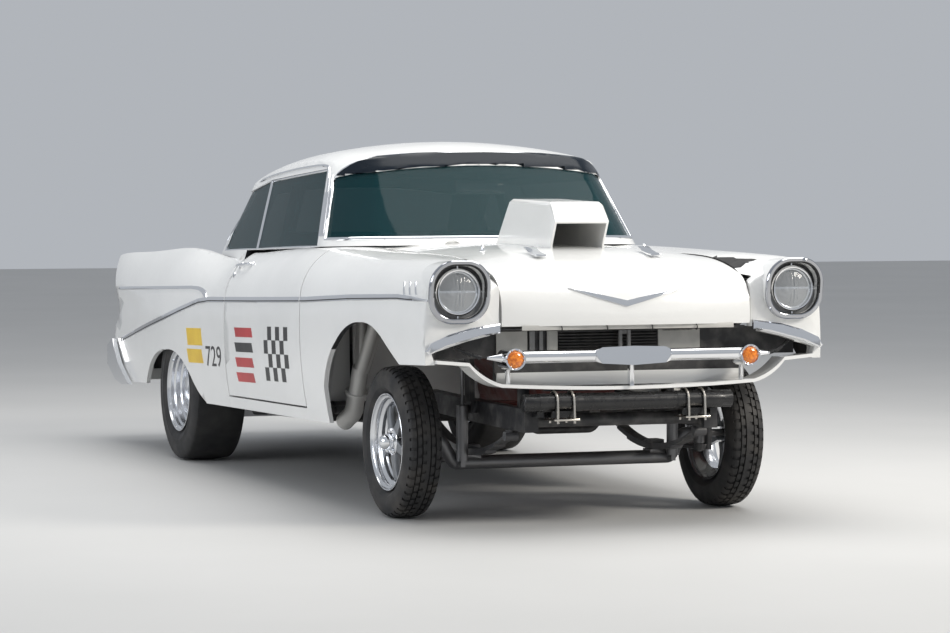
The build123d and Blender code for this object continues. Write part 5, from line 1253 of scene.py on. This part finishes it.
# %% Plates
SHEET_PALE = painted_steel("pale_sheet", (0.50, 0.49, 0.46), 0.45, (0.36, 0.35, 0.33))
POST_GREY = painted_steel("post_grey", (0.26, 0.26, 0.26), 0.4, (0.16, 0.16, 0.16))
LOUVRE = painted_steel("louvre", (0.035, 0.034, 0.033), 0.34, (0.07, 0.066, 0.06))
CORE_FRONT_Y = -0.608


def plate(name, corners, thickness, material, body="body", slot="radiator", bevel=0.001):
    """Flat plate through 3-D corners with a thickness and a small bevel."""
    piece = flat_outline(name, corners)
    apply_modifier(piece, "wall", "SOLIDIFY", thickness=thickness, offset=0)
    close_shell(piece)
    if bevel:
        apply_modifier(piece, "edge", "BEVEL", width=bevel, segments=2, limit_method="ANGLE", angle_limit=0.6)
    return hand_over(piece, body, material)


def front_plate(name, low_x, high_x, low_z, high_z, y, thickness, material, **more):
    """Upright plate that faces forward, given on the level body."""
    corners = [(low_x, low_z), (high_x, low_z), (high_x, high_z), (low_x, high_z)]
    return plate(name, [on_body(x, y, z) for x, z in corners], thickness, material, **more)


print("plate helpers ready")

# %% [markdown]
# The louvres stand between the height where the core starts and the one where it ends. The sheets, the
# two narrow ducts and the post are plates too, set a little in front of the core.

# %% Louvres, side sheets and post
LOUVRE_X = (-0.268, 0.172)
LOUVRE_DEPTH, LOUVRE_RISE, LOUVRE_PITCH = 0.010, 0.006, 0.0125
CORE_FOOT, CORE_TOP = 0.545, 0.715
SHEET_TOP = 0.716
louvre_z = CORE_FOOT
while louvre_z < CORE_TOP:
    front_edge = [on_body(x, CORE_FRONT_Y - LOUVRE_DEPTH, louvre_z) for x in LOUVRE_X]
    rear_edge = [on_body(x, CORE_FRONT_Y, louvre_z + LOUVRE_RISE) for x in LOUVRE_X[::-1]]
    plate(f"louvre_{round(1000 * louvre_z)}", front_edge + rear_edge, 0.0022, LOUVRE, bevel=0)
    louvre_z += LOUVRE_PITCH
POST_X = (-0.004, 0.034)
POST_TIES = (0.565, 0.640, 0.705)
# Rows: name, reach across, reach in height, finish.
SIDE_SHEETS = (
    ("sheet_left", 0.176, 0.365, CORE_FOOT, SHEET_TOP, SHEET_PALE),
    ("sheet_right", -0.540, -0.405, CORE_FOOT, SHEET_TOP, SHEET_PALE),
    ("sheet_strip", -0.318, -0.272, CORE_FOOT, SHEET_TOP, SHEET_PALE),
    ("sheet_lip", 0.195, 0.330, 0.640, 0.652, POST_GREY),
    ("duct_right_a", -0.395, -0.372, CORE_FOOT, SHEET_TOP, POST_GREY),
    ("duct_right_b", -0.352, -0.336, CORE_FOOT, SHEET_TOP, POST_GREY),
    ("sheet_lip_right", -0.520, -0.425, 0.676, 0.688, POST_GREY),
)
for name, low_x, high_x, low_z, high_z, material in SIDE_SHEETS:
    front_plate(name, low_x, high_x, low_z, high_z, CORE_FRONT_Y - 0.004, 0.006, material)
for index, x in enumerate(POST_X):
    front_plate(f"post_{index}", x - 0.007, x + 0.007, 0.535, 0.730, CORE_FRONT_Y - 0.030, 0.012, POST_GREY)
for index, z in enumerate(POST_TIES):
    front_plate(f"post_tie_{index}", *POST_X, z - 0.008, z + 0.008, CORE_FRONT_Y - 0.028, 0.006, POST_GREY)

# %% [markdown]
# A pale strip with small black hooks closes the gap under the hood lip. It rides on the hood, so it
# lifts with it.

# %% Hood lip
HOOK_PLACES = (-0.300, -0.100, 0.100, 0.300)
HOOK_BEND = ((-0.004, 0.668), (-0.012, 0.662), (-0.013, 0.652), (-0.006, 0.645), (0.002, 0.648))
LIP_Y, LIP_HALF, LIP_Z = -0.722, 0.470, (0.652, 0.672)
front_plate(
    "hood_lip_strip", -LIP_HALF, LIP_HALF, *LIP_Z, LIP_Y, 0.004, SHEET_PALE, body="hood", slot="body_paint",
)
for index, x in enumerate(HOOK_PLACES):
    hook = [on_body(x, LIP_Y + y, z) for y, z in HOOK_BEND]
    hand_over(bent_rod(f"hood_hook_{index}", hook, 0.0025), "hood", GLOSS_BLACK)
print("hood hooks", len(HOOK_PLACES))

# %% [markdown]
# The cross tube carries bright U-bolts. Each is one rod bent over the tube, with its ends through a
# plate under it, so it is drawn as a half circle with two straight legs. A short black conduit leads
# from each headlamp housing to the grille bar.

# %% U-bolts and lamp conduits
ZINC = bright_metal("zinc_plate", (0.66, 0.62, 0.56), 0.16, 0.3)
TUBE_Y, TUBE_Z = -0.700, 0.358
BOLT_X, BOLT_HALF, BOLT_BEND, BOLT_RADIUS = 0.290, 0.036, 0.0455, 0.0055
LEG_FOOT_Z, PLATE_Z = TUBE_Z - 0.085, TUBE_Z - 0.070
PLATE_HALF_X, PLATE_HALF_Y = 0.056, 0.058
CONDUIT = ((0.770, -0.640, 0.610), (0.735, -0.668, 0.585), (0.690, -0.690, 0.556), (0.640, -0.700, 0.545))
for side, sign in SIDES.items():
    for index, shift in enumerate((-BOLT_HALF, BOLT_HALF)):
        x = sign * BOLT_X + shift
        ring = [
            on_body(x, TUBE_Y + BOLT_BEND * math.cos(turn), TUBE_Z + BOLT_BEND * math.sin(turn))
            for turn in [math.radians(20 * step) for step in range(10)]
        ]
        legs = [on_body(x, TUBE_Y + reach, LEG_FOOT_Z) for reach in (BOLT_BEND, -BOLT_BEND)]
        bolt = bent_rod(f"u_bolt_{side}_{index}", [legs[0], *ring, legs[1]], BOLT_RADIUS, 1)
        hand_over(bolt, "body", ZINC)
    foot = [
        on_body(sign * BOLT_X + x * PLATE_HALF_X, TUBE_Y + y * PLATE_HALF_Y, PLATE_Z)
        for x, y in ((-1, -1), (1, -1), (1, 1), (-1, 1))
    ]
    plate(f"u_bolt_plate_{side}", foot, 0.008, ZINC, slot="axle_steel", bevel=0.002)
    conduit = bent_rod(f"lamp_conduit_{side}", [on_body(sign * x, y, z) for x, y, z in CONDUIT], 0.009)
    hand_over(conduit, "body", GLOSS_BLACK)

# %% [markdown]
# ## Mirror and handles
# The mirror hangs from the roof behind the windscreen: a rounded bright case, a thin glass on its rear
# face and a bent stalk. The case is an outline given its depth and then a bevel, which rounds all its
# edges at once.

# %% Mirror
def rounded_block(name, centre, size, radius, material, body, levels=3):
    """Block drawn out from a face, its edges rounded by a bevel, placed on the standing car."""
    x, y, z = centre
    a, b, c = (value / 2 for value in size)
    corners = [on_body(x + i, y - b, z + k) for i, k in ((-a, -c), (a, -c), (a, c), (-a, c))]
    piece = flat_outline(name, corners)
    apply_modifier(piece, "depth", "SOLIDIFY", thickness=2 * b, offset=-1)
    close_shell(piece)
    apply_modifier(
        piece, "edge", "BEVEL", width=radius, segments=levels, limit_method="ANGLE", angle_limit=0.6,
    )
    return hand_over(piece, body, material)


MIRROR_X = 0.050
MIRROR_STALK = ((1.120, 1.300), (1.130, 1.350), (1.150, 1.400))
MIRROR_GLASS = bright_metal("mirror_glass", (0.35, 0.62, 0.66), 0.03, 0.06)
rounded_block("mirror_case", (MIRROR_X, 1.120, 1.285), (0.245, 0.022, 0.066), 0.010, CHROME, "body")
rounded_block(
    "mirror_face", (MIRROR_X, 1.134, 1.285), (0.226, 0.006, 0.050), 0.003, MIRROR_GLASS, "body", 2,
)
stalk = bent_rod("mirror_stalk", [on_body(MIRROR_X, y, z) for y, z in MIRROR_STALK], 0.006)
hand_over(stalk, "body", CHROME)
print("mirror at", [round(value, 3) for value in on_body(MIRROR_X, 1.120, 1.285)])

# %% [markdown]
# The door handle is a bright bar on two feet, with a round lock under it. Its route is measured from
# the door's own skin, so the bar stands off the panel by the same amount all along.

# %% Handles and locks
# Rows: place along, height, distance out from the skin.
GRIP = (
    (1.745, 0.945, -0.004), (1.752, 0.945, 0.024), (1.800, 0.943, 0.034), (1.880, 0.939, 0.034),
    (1.922, 0.936, 0.024), (1.930, 0.936, -0.004),
)
GRIP_FEET, FOOT_Z = (1.748, 1.926), 0.942
FOOT_PROFILE = ((-0.004, 0.0), (-0.004, 0.016), (0.003, 0.014), (0.006, 0.0))
LOCK_Y, LOCK_Z = 1.936, 0.893
LOCK_PROFILE = ((-0.004, 0.0), (-0.004, 0.017), (0.004, 0.015), (0.006, 0.008), (0.005, 0.0))


def on_door(side, y, z, out=0.0):
    """Place on a door's skin in side view, moved out from it."""
    sign = SIDES[side]
    return skin_point(f"door_{side}", on_body(sign * 1.2, y, z), (-sign, 0, 0)) + Vector((sign * out, 0, 0))


for side, sign in SIDES.items():
    door, outward = f"door_{side}", (sign, 0, 0)
    handle = bent_rod(f"door_handle_{side}", [on_door(side, *row) for row in GRIP], 0.009)
    hand_over(handle, door, CHROME)
    for index, y in enumerate(GRIP_FEET):
        foot = turned(f"handle_foot_{side}_{index}", FOOT_PROFILE, on_door(side, y, FOOT_Z), outward, 20)
        hand_over(foot, door, CHROME)
    lock = turned(f"door_lock_{side}", LOCK_PROFILE, on_door(side, LOCK_Y, LOCK_Z), outward, 24)
    hand_over(lock, door, CHROME)
print("handles and locks", 2 * len(SIDES))

# %% [markdown]
# ## Numbers and painted fields
# The markings are plain: a number, a two-part yellow field, a chequered field and a striped red field.
# They could be an image on the paint, but then every change needs a new picture and the edges blur.
# As thin pieces of film, cut to shape and laid on the panels, they stay sharp and ride with the doors.

# %% Film finishes and helpers
FILM_BLACK = finish("film_black", (0.012, 0.012, 0.013), 0.34)
vary_roughness(FILM_BLACK, object_noise(FILM_BLACK, 12.0), 0.28, 0.42)
FILM_RED = finish("film_red", (0.46, 0.022, 0.025), 0.32)
vary_colour(FILM_RED, object_noise(FILM_RED, 6.0), (0.40, 0.018, 0.02), (0.52, 0.028, 0.03))
FILM_YELLOW = finish("film_yellow", (0.78, 0.52, 0.03), 0.34)
vary_colour(FILM_YELLOW, object_noise(FILM_YELLOW, 6.0), (0.72, 0.46, 0.025), (0.82, 0.56, 0.04))
FILM, NUMBER_FILM = 0.0005, 0.0008


def side_film(name, node, body, side, corners, material, step=0.06):
    """Thin field drawn in side view and laid on one panel."""
    piece = flat_outline(name, side_view(side, corners))
    slice_fields(piece, ALONG, step)
    slice_fields(piece, RISE, step)
    lay_on(piece, node, "X", FILM)
    return hand_over(piece, body, material)


def side_number(name, digits, node, body, side, rear_y, foot_z, height, width, material):
    """Number laid on a side panel, upright on the level body."""
    bpy.ops.object.select_all(action="DESELECT")
    bpy.ops.object.text_add(location=(0, 0, 0))
    label = bpy.context.object
    label.name = name
    label.data.body = digits
    bpy.ops.object.convert(target="MESH")
    select_only(label)
    bpy.ops.object.mode_set(mode="EDIT")
    bpy.ops.mesh.select_all(action="SELECT")
    bpy.ops.mesh.quads_convert_to_tris(ngon_method="CLIP")
    bpy.ops.mesh.subdivide(number_cuts=2)
    bpy.ops.object.mode_set(mode="OBJECT")
    xs = [vertex.co.x for vertex in label.data.vertices]
    ys = [vertex.co.y for vertex in label.data.vertices]
    sign = SIDES[side]
    start = rear_y if sign < 0 else rear_y - width
    for vertex in label.data.vertices:
        across = (vertex.co.x - min(xs)) / (max(xs) - min(xs)) * width
        rise = (vertex.co.y - min(ys)) / (max(ys) - min(ys)) * height
        vertex.co = on_body(sign * OUTSIDE_X, start + sign * across, foot_z + rise)
    lay_on(label, node, "X", NUMBER_FILM)
    return hand_over(label, body, material)


print("film helpers ready")

# %% [markdown]
# The number and the yellow field sit behind the door, the stripes and the squares on it. Both sides of
# the car get the same layout, and the number reads from left to right on each of them.

# %% Markings
NUMBER = "729"
# Rear end, foot, height and width of the number.
NUMBER_PLACE = (2.302, 0.458, 0.098, 0.255)
YELLOW_ROWS = ((0.470, 0.538), (0.556, 0.640))
LEAN = 0.020
STRIPE_FOOT, STRIPE_PITCH, STRIPE_HEIGHT, STRIPE_COUNT, BLACK_STRIPE = 0.395, 0.070, 0.044, 4, 2
CHECKER, CHECKER_ROWS, CHECKER_COLUMNS = 0.062, 4, 6
CHECKER_REAR, CHECKER_FOOT = 1.340, 0.410


def leaning_field(rear, front, low, high):
    """Four corners of a field whose ends lean backwards."""
    return [(rear, low), (front, low), (front + LEAN, high), (rear + LEAN, high)]


for side in SIDES:
    door = f"door_{side}"
    side_number(f"quarter_number_{side}_0", NUMBER, "quarter_body", "body", side, *NUMBER_PLACE, FILM_BLACK)
    for index, (low, high) in enumerate(YELLOW_ROWS):
        field = leaning_field(2.600, 2.352, low, high)
        side_film(f"class_field_{side}_{index}", "quarter_body", "body", side, field, FILM_YELLOW)
    for index in range(STRIPE_COUNT):
        low = STRIPE_FOOT + STRIPE_PITCH * index
        stripe = leaning_field(1.800, 1.520, low, low + STRIPE_HEIGHT)
        material = FILM_BLACK if index == BLACK_STRIPE else FILM_RED
        side_film(f"door_stripe_{side}_{index}", door, door, side, stripe, material)
    for row in range(CHECKER_ROWS):
        for column in range(row % 2, CHECKER_COLUMNS, 2):
            rear, foot = CHECKER_REAR - CHECKER * column, CHECKER_FOOT + CHECKER * row
            front, top = rear - CHECKER, foot + CHECKER
            square = [(rear, foot), (front, foot), (front, top), (rear, top)]
            side_film(f"checker_{side}_{row}_{column}", door, door, side, square, FILM_BLACK, step=0.1)
film_names = [name for name in bpy.data.objects.keys() if name.startswith(("checker", "door_stripe"))]
print("film pieces on the doors", len(film_names))
